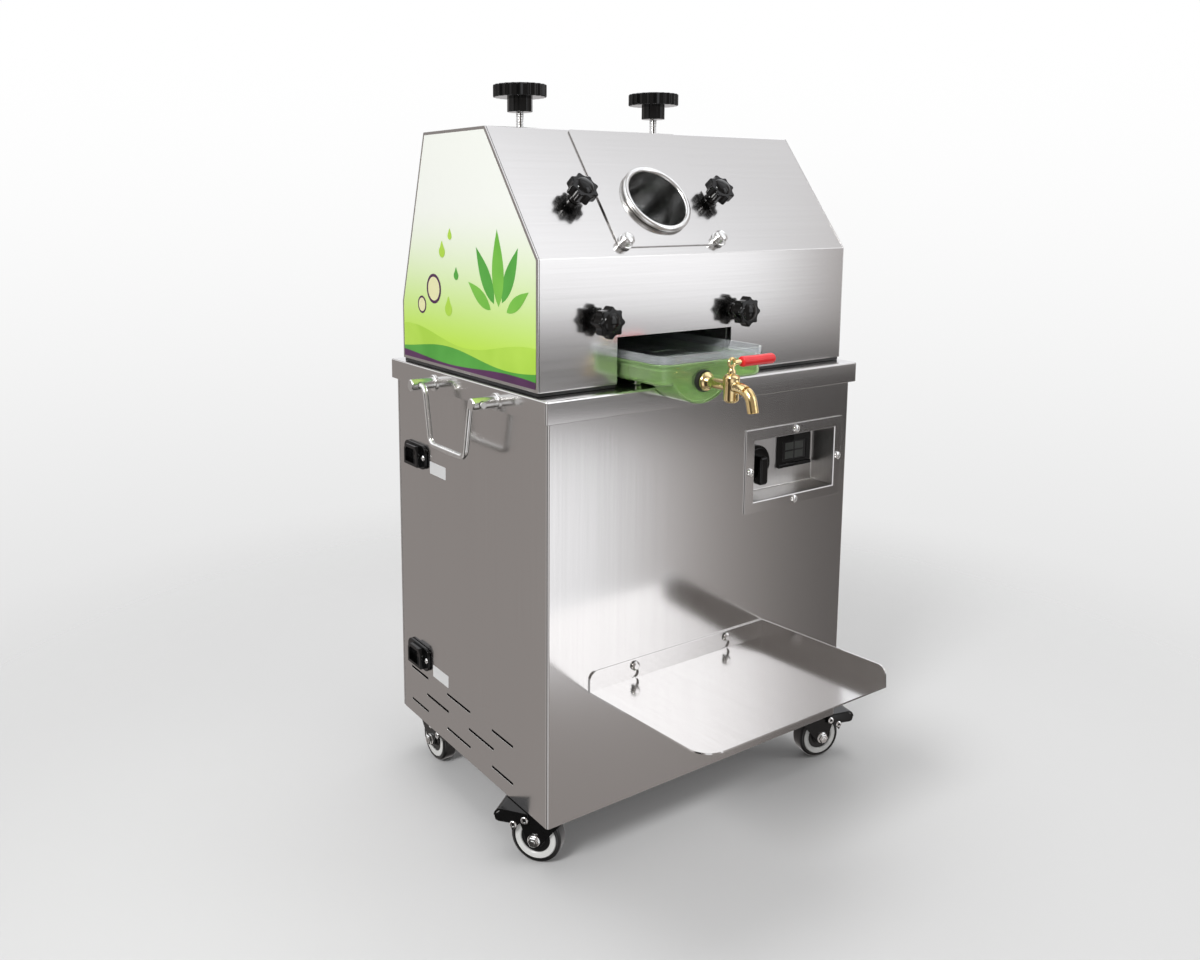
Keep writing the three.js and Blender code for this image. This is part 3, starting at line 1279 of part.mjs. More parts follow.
function makeCaster(label, x, y, turn) {
  const group = new THREE.Group();
  group.position.set(x, y, 0);
  group.rotation.z = THREE.MathUtils.degToRad(turn);
  machine.add(group);
  const axleZ = -casterHeight + casterWheelRadius;
  const headLow = -casterHeadHeight;
  const boltHeadTop = headLow - forkThickness - 2 * gap;
  const boltHeadRadius = casterBoltRadius + 2;
  const boltEnd = sheet + casterBoltProud;
  const head = turned([
    [0, boltHeadTop - casterBoltHead], [boltHeadRadius, boltHeadTop - casterBoltHead],
    [boltHeadRadius, boltHeadTop], [casterBoltRadius, boltHeadTop],
    [casterBoltRadius, headLow], [casterHeadRadius - casterHeadTaper, headLow],
    [casterHeadRadius, headLow + casterHeadHeight / 2], [casterHeadRadius, -gap],
    [casterBoltRadius, -gap], [casterBoltRadius, boltEnd], [0, boltEnd],
  ], 18);
  add(`caster_${label}_head`, head, steel(), group);

  const crownTop = headLow - gap;
  const crownLow = crownTop - forkThickness;
  const cheekInner = casterWheelWidth / 2 + wheelSideGap;
  const cheekOuter = cheekInner + forkThickness;
  const shoulderZ = -skirtDepth - 1;
  const shoulderX = casterHeadRadius - 2;
  const pedalPivotX = casterTrail + pedalPivotBehind;
  const cheekEnd = pedalPivotX + 2 * axleRadius;
  const cheek = new THREE.Shape();
  cheek.moveTo(-shoulderX, crownTop - forkThickness / 2);
  cheek.lineTo(-shoulderX, crownLow - cheekNeck);
  cheek.absarc(casterTrail, axleZ, 2.5 * axleRadius, Math.PI * 1.1, Math.PI * 1.95, false);
  cheek.lineTo(cheekEnd, pedalPivotZ - 2 * axleRadius);
  cheek.lineTo(cheekEnd, shoulderZ);
  cheek.lineTo(shoulderX, shoulderZ);
  cheek.lineTo(shoulderX, crownTop - forkThickness / 2);
  cheek.closePath();
  const bothSides = (inner, outer, make) => [make(-outer, -inner), make(inner, outer)];
  const armOuter = cheekOuter + gap + forkThickness;
  const crown = rodZ(forkCrownRadius, crownLow, crownTop, 0, 0, 24);
  const cheeks = bothSides(cheekInner, cheekOuter, (y0, y1) => prismY(cheek, y0, y1, 4));
  const pins = bothSides(cheekInner, armOuter + gap + pedalPinHead / 2, (y0, y1) =>
    rodY(pedalPinRadius, y0, y1, pedalPivotX, pedalPivotZ, 10));
  const pinHeads = bothSides(armOuter + gap, armOuter + gap + pedalPinHead, (y0, y1) =>
    rodY(pedalPinRadius + pedalPinHead, y0, y1, pedalPivotX, pedalPivotZ, 10));
  const axle = rodY(axleRadius, -cheekOuter - axleProud, cheekOuter + axleProud, casterTrail, axleZ, 16);
  const boltHole = rodZ(casterBoltRadius + gap, crownLow - 1, crownTop + 1, 0, 0);
  add(`caster_${label}_fork`, cut(join(crown, ...cheeks, axle, ...pins, ...pinHeads), boltHole),
    blackPaint(), group);

  const half = casterWheelWidth / 2;
  const wheel = turned([
    [axleRadius + gap, -half], [casterWheelRadius - casterTreadRound, -half],
    [casterWheelRadius, -half + casterTreadRound], [casterWheelRadius, half - casterTreadRound],
    [casterWheelRadius - casterTreadRound, half], [axleRadius + gap, half],
    [axleRadius + gap, -half],
  ], 32).rotateX(-Math.PI / 2).translate(casterTrail, 0, axleZ);
  add(`caster_${label}_wheel`, wheel, rubber(), group);

  const pedalTop = shoulderZ - 1.5;
  const plateLow = pedalTop - forkThickness;
  const plateStart = pedalPivotX + pedalPlateStart;
  const pedalEnd = plateStart + pedalLength;
  const arm = polygon([
    [pedalPivotX - pedalArmStart, pedalPivotZ - 2 * pedalPinRadius],
    [plateStart, pedalPivotZ - 2 * pedalPinRadius], [pedalEnd, plateLow - forkThickness],
    [pedalEnd, pedalTop], [pedalPivotX - pedalArmStart, pedalTop],
  ]);
  const arms = bothSides(cheekOuter + gap, armOuter, (y0, y1) => prismY(arm, y0, y1));
  const pinHole = rodY(pedalPinRadius + gap, -armOuter - 1, armOuter + 1, pedalPivotX, pedalPivotZ, 10);
  const plate = box(plateStart, pedalEnd, -armOuter, armOuter, plateLow, pedalTop);
  add(`caster_${label}_pedal`, cut(join(plate, ...arms), pinHole), blackPaint(), group);
}

function makeCasters() {
  makeCaster('front_left', -casterX, -casterY, casterTurns.frontLeft);
  makeCaster('front_right', casterX, -casterY, casterTurns.frontRight);
  makeCaster('rear_left', -casterX, casterY, casterTurns.rearLeft);
  makeCaster('rear_right', casterX, casterY, casterTurns.rearRight);
}

// Battery standing on the floor panel

function makeBattery() {
  const floor = sheet + gap;
  const half = batteryWidth / 2;
  const depth = batteryDepth / 2;
  const caseTop = floor + batteryHeight - batteryLid;
  const top = floor + batteryHeight;
  const caseBody = prismZ(rectangle(batteryPlace - half, -depth, batteryPlace + half, depth, batteryCorner),
    floor, caseTop);
  const lid = prismZ(rectangle(batteryPlace - half + batteryStep, -depth + batteryStep,
    batteryPlace + half - batteryStep, depth - batteryStep, batteryCorner), caseTop - 1, top);
  const terminals = [-1, 1].map((end) =>
    rodZ(terminalRadius, top - 1, top + terminalHeight, batteryPlace, end * terminalSpacing / 2, 16));
  add('battery', join(caseBody, lid, ...terminals), batteryCase());
}

makeCabinet();
makeTopPlate();
makeHandles();
makeInlets();
makeControls();
makeShelf();
makeGasket();
makeHood();
makeFeed();
makeKnobs();
makeHandwheels();
makeMill();
makeRollers();
makeGears();
makeDrive();
makeChute();
makeTub();
makeStrainer();
makeTap();
makeCasters();
makeBattery();

export default machine;
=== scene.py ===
# Electric sugarcane juicer on a castered cabinet: finishes, small parts and studio
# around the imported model. Metres, +Z up, +Y to the back.
import json
from math import atan2, cos, pi, radians, sin

import bpy
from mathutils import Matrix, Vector

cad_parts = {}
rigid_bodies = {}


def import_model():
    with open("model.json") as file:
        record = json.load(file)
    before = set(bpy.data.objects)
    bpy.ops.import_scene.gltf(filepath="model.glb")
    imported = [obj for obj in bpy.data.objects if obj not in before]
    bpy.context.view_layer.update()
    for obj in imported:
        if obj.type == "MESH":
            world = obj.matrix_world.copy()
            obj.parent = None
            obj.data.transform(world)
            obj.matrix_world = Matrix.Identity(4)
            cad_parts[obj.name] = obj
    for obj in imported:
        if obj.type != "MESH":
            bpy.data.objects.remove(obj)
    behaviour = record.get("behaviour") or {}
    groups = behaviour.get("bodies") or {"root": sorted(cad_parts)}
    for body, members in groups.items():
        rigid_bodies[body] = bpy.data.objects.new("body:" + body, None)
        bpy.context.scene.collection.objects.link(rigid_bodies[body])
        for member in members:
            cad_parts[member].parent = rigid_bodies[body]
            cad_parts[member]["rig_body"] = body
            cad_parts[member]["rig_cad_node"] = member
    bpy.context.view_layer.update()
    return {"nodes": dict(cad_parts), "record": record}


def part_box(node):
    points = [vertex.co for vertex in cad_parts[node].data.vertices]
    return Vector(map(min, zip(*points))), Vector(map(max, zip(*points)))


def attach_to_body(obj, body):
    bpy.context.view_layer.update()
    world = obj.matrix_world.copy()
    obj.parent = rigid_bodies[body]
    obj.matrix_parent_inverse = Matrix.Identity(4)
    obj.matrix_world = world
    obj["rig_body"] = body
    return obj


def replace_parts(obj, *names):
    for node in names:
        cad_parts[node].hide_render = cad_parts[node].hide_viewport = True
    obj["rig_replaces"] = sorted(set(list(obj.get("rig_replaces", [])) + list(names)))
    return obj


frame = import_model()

record = frame["record"]
bodyOf = {node: body for body, members in record["behaviour"]["bodies"].items() for node in members}
slotOf = {row["node"]: row["material_slot"] for row in record["subparts"]}
mm = 0.001
gap = 0.3 * mm
print("frame loaded with", len(bodyOf), "nodes")


# Modelling steps

def lengths(**sizes):
    # sizes given in millimetres, one or several under each name
    return {name: tuple(part * mm for part in size) if isinstance(size, tuple) else size * mm
            for name, size in sizes.items()}


def setMode(mode):
    bpy.ops.object.mode_set(mode=mode)


def deselectAll():
    if bpy.context.object and bpy.context.object.mode != "OBJECT":
        setMode("OBJECT")
    bpy.ops.object.select_all(action="DESELECT")


def makeActive(piece):
    deselectAll()
    piece.select_set(True)
    bpy.context.view_layer.objects.active = piece


def newestPiece(name):
    piece = bpy.context.object
    piece.name = name
    return piece


def removePieces(*pieces):
    for piece in pieces:
        bpy.data.objects.remove(piece)


def editAll(piece, kind="VERT"):
    makeActive(piece)
    setMode("EDIT")
    bpy.ops.mesh.select_mode(type=kind)
    bpy.ops.mesh.select_all(action="SELECT")


def selectWhere(piece, kind, test):
    # ends in edit mode with only the wanted vertices or faces selected
    editAll(piece, kind)
    bpy.ops.mesh.select_all(action="DESELECT")
    setMode("OBJECT")
    for part in piece.data.vertices if kind == "VERT" else piece.data.polygons:
        part.select = test(part)
    setMode("EDIT")


def extrudeUp(depth):
    bpy.ops.mesh.extrude_region_move(TRANSFORM_OT_translate={"value": (0, 0, depth)})


def endEdit():
    bpy.ops.mesh.select_all(action="SELECT")
    bpy.ops.mesh.remove_doubles(threshold=2e-6)
    bpy.ops.mesh.normals_make_consistent(inside=False)
    setMode("OBJECT")


def applyModifier(piece, kind, **values):
    makeActive(piece)
    modifier = piece.modifiers.new("shape", kind)
    for key, value in values.items():
        setattr(modifier, key, value)
    bpy.ops.object.modifier_apply(modifier=modifier.name)


def roundEdges(piece, width, segments=2, angle=35):
    applyModifier(piece, "BEVEL", width=width, segments=segments, limit_method="ANGLE",
                  angle_limit=radians(angle))


def roundFolds(piece, width, wanted, segments=4, smallest=1e-3):
    # rounds the wanted corners between two broad faces, by less than the sheet's thickness
    editAll(piece, "EDGE")
    bpy.ops.mesh.select_all(action="DESELECT")
    setMode("OBJECT")
    sides = {}
    for face in piece.data.polygons:
        for key in face.edge_keys:
            sides.setdefault(key, []).append((face.area, face.normal.copy()))
    for edge in piece.data.edges:
        first, last = sides[edge.key][0], sides[edge.key][-1]
        broad = min(first[0], last[0]) > smallest
        start, end = (piece.data.vertices[index].co for index in edge.vertices)
        edge.select = broad and wanted((start + end) / 2) and first[1].angle(last[1]) > radians(30)
    setMode("EDIT")
    bpy.ops.mesh.bevel(offset=width, segments=segments, clamp_overlap=True)
    setMode("OBJECT")


def smoothShade(piece, angle=40):
    makeActive(piece)
    bpy.ops.object.shade_smooth_by_angle(angle=radians(angle))
    applyModifier(piece, "WEIGHTED_NORMAL", keep_sharp=True)


def place(piece, location=(0, 0, 0), turn=(0, 0, 0)):
    # turns about the origin, moves, and puts the place into the mesh
    makeActive(piece)
    piece.rotation_euler = turn
    piece.location = location
    bpy.ops.object.transform_apply(location=True, rotation=True, scale=True)
    return piece


def copyPiece(piece, name):
    makeActive(piece)
    bpy.ops.object.duplicate()
    return newestPiece(name)


def joinPieces(piece, *others):
    for other in others:
        applyModifier(piece, "BOOLEAN", operation="UNION", object=other, solver="EXACT")
        removePieces(other)
    return piece


def cutPiece(piece, *tools):
    for tool in tools:
        applyModifier(piece, "BOOLEAN", operation="DIFFERENCE", object=tool, solver="EXACT")
        removePieces(tool)
    return piece


def gatherPieces(piece, *others):
    makeActive(piece)
    for other in others:
        other.select_set(True)
    bpy.ops.object.join()
    return piece


def drawPath(name, points):
    # a plane merged to one point, which is then drawn out along the path
    deselectAll()
    bpy.ops.mesh.primitive_plane_add(size=mm)
    piece = newestPiece(name)
    editAll(piece)
    bpy.ops.mesh.merge(type="CENTER")
    bpy.ops.transform.translate(value=points[0])
    for start, end in zip(points, points[1:]):
        step = Vector(end) - Vector(start)
        bpy.ops.mesh.extrude_vertices_move(TRANSFORM_OT_translate={"value": step})
    bpy.ops.mesh.select_all(action="SELECT")
    return piece


def lathePiece(name, profile, steps=32):
    # profile is (radius, height) pairs, spun about Z
    piece = drawPath(name, [(radius, 0, height) for radius, height in profile])
    bpy.ops.mesh.spin(steps=steps, angle=2 * pi, center=(0, 0, 0), axis=(0, 0, 1))
    endEdit()
    return piece


def prismPiece(name, outline, depth):
    # outline is (x, y) pairs, drawn out along Z from zero
    piece = drawPath(name, [(x, y, 0) for x, y in outline])
    bpy.ops.mesh.edge_face_add()
    extrudeUp(depth)
    endEdit()
    return piece


def platePiece(name, width, height, depth, corner=0, segments=4):
    # a rectangle with round corners about the origin, drawn out along Z
    deselectAll()
    bpy.ops.mesh.primitive_plane_add(size=1)
    piece = newestPiece(name)
    setMode("EDIT")
    bpy.ops.transform.resize(value=(width, height, 1))
    if corner:
        bpy.ops.mesh.bevel(offset=corner, segments=segments, affect="VERTICES")
    bpy.ops.mesh.select_all(action="SELECT")
    extrudeUp(depth)
    endEdit()
    return piece


def lobedPiece(name, radius, lobes, waist, roundness, depth):
    # a ring of lobes: every other point is drawn in to the waist, then all points are rounded
    deselectAll()
    bpy.ops.mesh.primitive_circle_add(vertices=2 * lobes, radius=radius, fill_type="NGON")
    piece = newestPiece(name)
    selectWhere(piece, "VERT", lambda vertex: vertex.index % 2 == 1)
    bpy.ops.transform.resize(value=(waist, waist, 1), center_override=(0, 0, 0))
    bpy.ops.mesh.select_all(action="SELECT")
    bpy.ops.mesh.bevel(offset=roundness, segments=3, affect="VERTICES")
    bpy.ops.mesh.select_all(action="SELECT")
    extrudeUp(depth)
    endEdit()
    return piece


def roundedPath(corners, radius, steps=6):
    # straight runs with a smooth bend at each inner corner
    points = [Vector(corners[0])]
    for before, corner, after in zip(corners, corners[1:], corners[2:]):
        corner = Vector(corner)
        start = corner + (Vector(before) - corner).normalized() * radius
        end = corner + (Vector(after) - corner).normalized() * radius
        for i in range(steps + 1):
            share = i / steps
            points.append(start.lerp(corner, share).lerp(corner.lerp(end, share), share))
    points.append(Vector(corners[-1]))
    return points


def tubePiece(name, points, radius, sides=4):
    # a round bar along the points, with closed ends
    deselectAll()
    bpy.ops.curve.primitive_nurbs_path_add()
    curve = newestPiece(name).data
    curve.splines.clear()
    spline = curve.splines.new("POLY")
    spline.points.add(len(points) - 1)
    for point, target in zip(spline.points, points):
        point.co = (*target, 1)
    curve.bevel_depth = radius
    curve.bevel_resolution = sides
    curve.use_fill_caps = True
    bpy.ops.object.convert(target="MESH")
    piece = bpy.context.object
    editAll(piece)
    endEdit()
    return piece


def copyOfNode(node, name):
    makeActive(frame["nodes"][node])
    bpy.ops.object.duplicate()
    piece = newestPiece(name)
    bpy.ops.object.parent_clear(type="CLEAR_KEEP_TRANSFORM")
    del piece["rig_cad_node"]
    del piece["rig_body"]
    editAll(piece)
    bpy.ops.mesh.remove_doubles(threshold=2e-6)
    bpy.ops.mesh.dissolve_limited(angle_limit=radians(1))
    setMode("OBJECT")
    return piece


def attach(piece, body, material):
    # a piece of its own that rides on a body
    piece.data.materials.clear()
    piece.data.materials.append(material)
    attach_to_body(piece, body)
    return piece


def standFor(piece, node, material):
    # a piece that takes a node's place and body, with the finish it is given
    attach(piece, bodyOf[node], material)
    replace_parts(piece, node)
    return piece


def attachCopy(piece, name, location, turn, body, material):
    # a copy of a pattern piece, at its place and on its body
    return attach(place(copyPiece(piece, name), location, turn), body, material)


def standCopy(piece, name, location, turn, node, material):
    return standFor(place(copyPiece(piece, name), location, turn), node, material)


def dressNode(node, material):
    piece = copyOfNode(node, "finished_" + node)
    roundEdges(piece, 0.3 * mm)
    smoothShade(piece)
    return standFor(piece, node, material)


# Shared surface effects, each a group that puts out a tone and a height

def newGroup(name, outputs):
    tree = bpy.data.node_groups.new(name, "ShaderNodeTree")
    tree.interface.new_socket("Vector", in_out="INPUT", socket_type="NodeSocketVector")
    for output in outputs:
        tree.interface.new_socket(output, in_out="OUTPUT", socket_type="NodeSocketFloat")
    return tree, tree.nodes.new("NodeGroupInput"), tree.nodes.new("NodeGroupOutput")


def addNoise(tree, vector, scale, detail=2.0, roughness=0.5):
    noise = tree.nodes.new("ShaderNodeTexNoise")
    noise.inputs["Scale"].default_value = scale
    noise.inputs["Detail"].default_value = detail
    noise.inputs["Roughness"].default_value = roughness
    tree.links.new(vector, noise.inputs["Vector"])
    return noise.outputs["Fac"]


def addMath(tree, operation, first, second):
    math = tree.nodes.new("ShaderNodeMath")
    math.operation = operation
    for socket, value in zip(math.inputs, (first, second)):
        if isinstance(value, (int, float)):
            socket.default_value = value
        else:
            tree.links.new(value, socket)
    return math.outputs[0]


def addRange(tree, value, low, high, fromLow=0.0, fromHigh=1.0):
    ramp = tree.nodes.new("ShaderNodeMapRange")
    ramp.interpolation_type = "SMOOTHSTEP"
    tree.links.new(value, ramp.inputs["Value"])
    for name, number in (("From Min", fromLow), ("From Max", fromHigh), ("To Min", low), ("To Max", high)):
        ramp.inputs[name].default_value = number
    return ramp.outputs["Result"]


def colour(tone):
    # one number stands for a grey
    return (*tone, 1) if isinstance(tone, tuple) else (tone, tone, tone, 1)


def addMix(tree, share, dark, light):
    mix = tree.nodes.new("ShaderNodeMix")
    mix.data_type = "RGBA"
    mix.inputs["A"].default_value = colour(dark)
    mix.inputs["B"].default_value = colour(light)
    tree.links.new(share, mix.inputs["Factor"])
    return mix.outputs["Result"]


def splitAxes(tree, vector):
    split = tree.nodes.new("ShaderNodeSeparateXYZ")
    tree.links.new(vector, split.inputs[0])
    return split.outputs


def makeGrainGroup():
    # long brush strokes: the material's mapping stretches them along the sheet
    tree, start, end = newGroup("brushedGrain", ["Tone", "Height"])
    fine = addNoise(tree, start.outputs["Vector"], 1.0, 3.0, 0.6)
    broad = addNoise(tree, start.outputs["Vector"], 0.22, 1.0)
    shares = addMath(tree, "MULTIPLY", fine, 0.6), addMath(tree, "MULTIPLY", broad, 0.4)
    blend = addMath(tree, "ADD", *shares)
    tree.links.new(addRange(tree, blend, 0.0, 1.0, 0.3, 0.7), end.inputs["Tone"])
    tree.links.new(fine, end.inputs["Height"])
    return tree


def makeMouldedGroup():
    # fine even grain of a moulding or of sprayed paint, with a slow change of tone
    tree, start, end = newGroup("mouldedGrain", ["Tone", "Height"])
    grain = addNoise(tree, start.outputs["Vector"], 1.0, 2.0)
    cloud = addNoise(tree, start.outputs["Vector"], 0.02, 2.0)
    tree.links.new(addRange(tree, cloud, 0.0, 1.0, 0.3, 0.7), end.inputs["Tone"])
    tree.links.new(grain, end.inputs["Height"])
    return tree


def makePolishedGroup():
    # faint haze of wiped, polished metal
    tree, start, end = newGroup("polishedHaze", ["Tone", "Height"])
    haze = addNoise(tree, start.outputs["Vector"], 1.0, 4.0, 0.6)
    tree.links.new(addRange(tree, haze, 0.0, 1.0, 0.35, 0.65), end.inputs["Tone"])
    tree.links.new(haze, end.inputs["Height"])
    return tree


grainGroup = makeGrainGroup()
mouldedGroup = makeMouldedGroup()
polishedGroup = makePolishedGroup()


def newMaterial(name, metallic=0.0, **sockets):
    material = bpy.data.materials.new(name)
    material.use_nodes = True
    shader = material.node_tree.nodes["Principled BSDF"]
    shader.inputs["Metallic"].default_value = metallic
    for socket, value in sockets.items():
        shader.inputs[socket.replace("_", " ")].default_value = value
    return material, material.node_tree, shader


def addSurface(tree, shader, group, scale, dark, light, roughness, bump):
    # the group's tone runs the colour and roughness, its height runs the bump
    coordinates = tree.nodes.new("ShaderNodeTexCoord")
    mapping = tree.nodes.new("ShaderNodeMapping")
    mapping.inputs["Scale"].default_value = scale
    tree.links.new(coordinates.outputs["Object"], mapping.inputs["Vector"])
    effect = tree.nodes.new("ShaderNodeGroup")
    effect.node_tree = group
    tree.links.new(mapping.outputs["Vector"], effect.inputs["Vector"])
    tone = effect.outputs["Tone"]
    tree.links.new(addMix(tree, tone, dark, light), shader.inputs["Base Color"])
    tree.links.new(addRange(tree, tone, *roughness), shader.inputs["Roughness"])
    relief = tree.nodes.new("ShaderNodeBump")
    relief.inputs["Strength"].default_value = bump[0]
    relief.inputs["Distance"].default_value = bump[1]
    tree.links.new(effect.outputs["Height"], relief.inputs["Height"])
    tree.links.new(relief.outputs["Normal"], shader.inputs["Normal"])


def steelMaterial(name, scale, dark=(0.6, 0.588, 0.579), light=(0.618, 0.607, 0.598),
                  roughness=(0.165, 0.15)):
    material, tree, shader = newMaterial(name, metallic=1.0)
    addSurface(tree, shader, grainGroup, scale, dark, light, roughness, (0.02, 0.004 * mm))
    return material


def plasticMaterial(name, dark, light, roughness, grain=1200, bump=0.1, **sockets):
    material, tree, shader = newMaterial(name, **sockets)
    addSurface(tree, shader, mouldedGroup, (grain, grain, grain), dark, light, roughness, (bump, 0.05 * mm))
    return material


def polishedMaterial(name, dark, light, roughness):
    material, tree, shader = newMaterial(name, metallic=1.0)
    addSurface(tree, shader, polishedGroup, (60, 60, 60), dark, light, roughness, (0.02, 0.05 * mm))
    return material


acrossGrain = 1400
alongGrain = 9
uprightSteel = steelMaterial("uprightBrushedSteel", (acrossGrain, acrossGrain, alongGrain))
levelSteel = steelMaterial("levelBrushedSteel", (alongGrain, acrossGrain, acrossGrain))
shelfSteel = steelMaterial("shelfBrushedSteel", (acrossGrain, alongGrain, acrossGrain))
# the well's steel is rougher, and its colour is darker than the other steel as painted shade inside the
# recess
wellSteelPaintedShade = steelMaterial("recessSteelPaintedShade", (acrossGrain, acrossGrain, alongGrain),
                          (0.5, 0.49, 0.48), (0.54, 0.53, 0.52), (0.34, 0.28))
machinedSteel = steelMaterial("machinedSteel", (alongGrain * 6, acrossGrain, acrossGrain),
                              (0.42, 0.43, 0.44), (0.55, 0.56, 0.57), (0.42, 0.3))
chrome = polishedMaterial("polishedChrome", (0.72, 0.72, 0.71), (0.84, 0.84, 0.83), (0.14, 0.08))
satinChrome = polishedMaterial("satinChrome", (0.68, 0.68, 0.67), (0.78, 0.78, 0.77), (0.27, 0.22))
brass = polishedMaterial("polishedBrass", (0.76, 0.56, 0.26), (0.88, 0.7, 0.38), (0.18, 0.1))
bronze = polishedMaterial("bearingBronze", (0.42, 0.27, 0.1), (0.58, 0.4, 0.18), (0.4, 0.3))
blackGloss = plasticMaterial("glossyBlackMoulding", 0.002, 0.005, (0.12, 0.08), bump=0.02,
                             Specular_IOR_Level=0.3)
blackPaint = plasticMaterial("blackPaintedSteel", 0.003, 0.007, (0.2, 0.15), grain=700, bump=0.04,
                             Specular_IOR_Level=0.35)
blackRubber = plasticMaterial("blackRubber", 0.008, 0.018, (0.7, 0.5))
wheelRubber = plasticMaterial("wheelTread", 0.004, 0.009, (0.36, 0.28), bump=0.05)
paleRing = plasticMaterial("paleWheelRing", (0.55, 0.55, 0.54), (0.72, 0.72, 0.7), (0.4, 0.3))
redSleeve = plasticMaterial("redDippedSleeve", (0.62, 0.01, 0.015), (0.78, 0.025, 0.03), (0.3, 0.2))
greyPaint = plasticMaterial("greyCastingPaint", (0.09, 0.1, 0.105), (0.13, 0.14, 0.145), (0.55, 0.4),
                            grain=500)
batteryCase = plasticMaterial("batteryCase", (0.018, 0.022, 0.03), (0.03, 0.036, 0.046), (0.6, 0.45))
tubGreen = plasticMaterial("greenClearMoulding", (0.56, 0.82, 0.36), (0.62, 0.87, 0.43), (0.08, 0.05),
                           bump=0.01, Transmission_Weight=0.78, IOR=1.49)
trayClear = plasticMaterial("clearMoulding", (0.84, 0.88, 0.9), (0.92, 0.95, 0.97), (0.1, 0.06),
                            bump=0.01, Transmission_Weight=0.82, IOR=1.49)
windowFilm = plasticMaterial("smokedWindow", (0.004, 0.004, 0.005), (0.007, 0.007, 0.008), (0.12, 0.08),
                             bump=0.01)
windowMark = plasticMaterial("windowSegment", (0.05, 0.055, 0.05), (0.07, 0.075, 0.07), (0.2, 0.15),
                             bump=0.01)
stickerPaper = plasticMaterial("paleSticker", 0.62, 0.7, (0.5, 0.4), grain=300)


def printGroundMaterial():
    # white at the top of the panel, turning to lime at its foot
    material, tree, shader = newMaterial("printedGround", Roughness=0.32)
    coordinates = tree.nodes.new("ShaderNodeTexCoord")
    height = splitAxes(tree, coordinates.outputs["Object"])["Z"]
    share = addRange(tree, height, 0.0, 1.0, 0.4, 0.56)
    ground = addMix(tree, share, (0.5, 0.78, 0.045), (0.9, 0.92, 0.86))
    tree.links.new(ground, shader.inputs["Base Color"])
    return material


def inkMaterial(name, dark, light):
    return plasticMaterial(name, dark, light, (0.38, 0.28), grain=900, bump=0.02)


printGround = printGroundMaterial()
printLime = inkMaterial("limeInk", (0.4, 0.66, 0.05), (0.48, 0.74, 0.08))
printGreen = inkMaterial("greenInk", (0.06, 0.32, 0.03), (0.09, 0.4, 0.05))
printLeaf = inkMaterial("leafInk", (0.14, 0.46, 0.04), (0.2, 0.54, 0.06))
printPlum = inkMaterial("plumInk", (0.06, 0.012, 0.06), (0.1, 0.02, 0.1))
printCream = inkMaterial("creamInk", (0.78, 0.76, 0.42), (0.86, 0.84, 0.54))
print("materials made")

finishOf = {
    "stainless": levelSteel, "machined_steel": machinedSteel, "chrome": chrome, "brass": brass,
    "bronze": bronze, "black_gloss": blackGloss, "black_paint": blackPaint, "black_rubber": blackRubber,
    "wheel_rubber": wheelRubber, "red_sleeve": redSleeve, "grey_paint": greyPaint,
    "battery_case": batteryCase, "green_clear": tubGreen, "clear": trayClear,
}


# Places taken from the frame

hood = lengths(gasket=3.5, frontWall=120, rearWall=64, slopeRun=87, rearRun=53, feedCentre=-37,
               millCentre=-45, knobReach=84, upperKnob=64, lowerKnob=63)
hoodLow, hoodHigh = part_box("hood_shell")
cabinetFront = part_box("jug_shelf")[1].y + gap
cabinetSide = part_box("cabinet_back_panel")[1].x
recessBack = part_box("control_recess")[1].y - 1.5 * mm
plateTop = hoodLow.z - hood["gasket"]
frontKnee = plateTop + hood["frontWall"]
slopeTurn = atan2(hoodHigh.z - frontKnee, hood["slopeRun"])
feedCentre = hood["feedCentre"]
knobX = {"left": hood["millCentre"] - hood["knobReach"], "right": hood["millCentre"] + hood["knobReach"]}
facingFront = (pi / 2, 0, 0)
facingLeft = (0, -pi / 2, 0)
facingBack = (-pi / 2, 0, 0)


def onSlope(across, along, out=0.0):
    y = hoodLow.y + along * cos(slopeTurn) - out * sin(slopeTurn)
    z = frontKnee + along * sin(slopeTurn) + out * cos(slopeTurn)
    return Vector((across, y, z))


def domeArc(radius, base, rise, steps):
    # the profile of a dome from its edge up, short of the axis
    angles = [step * pi / (2 * steps) for step in range(steps)]
    return [(radius * cos(angle), base + rise * sin(angle)) for angle in angles]


# Star knobs

knob = {**lengths(radius=16, roundness=2.5, edge=1.6, neck=9, head=11, neckRadius=7, domeRadius=9.5,
                  dome=3.4, shank=18, shankRadius=3), "lobes": 8, "waist": 0.72}


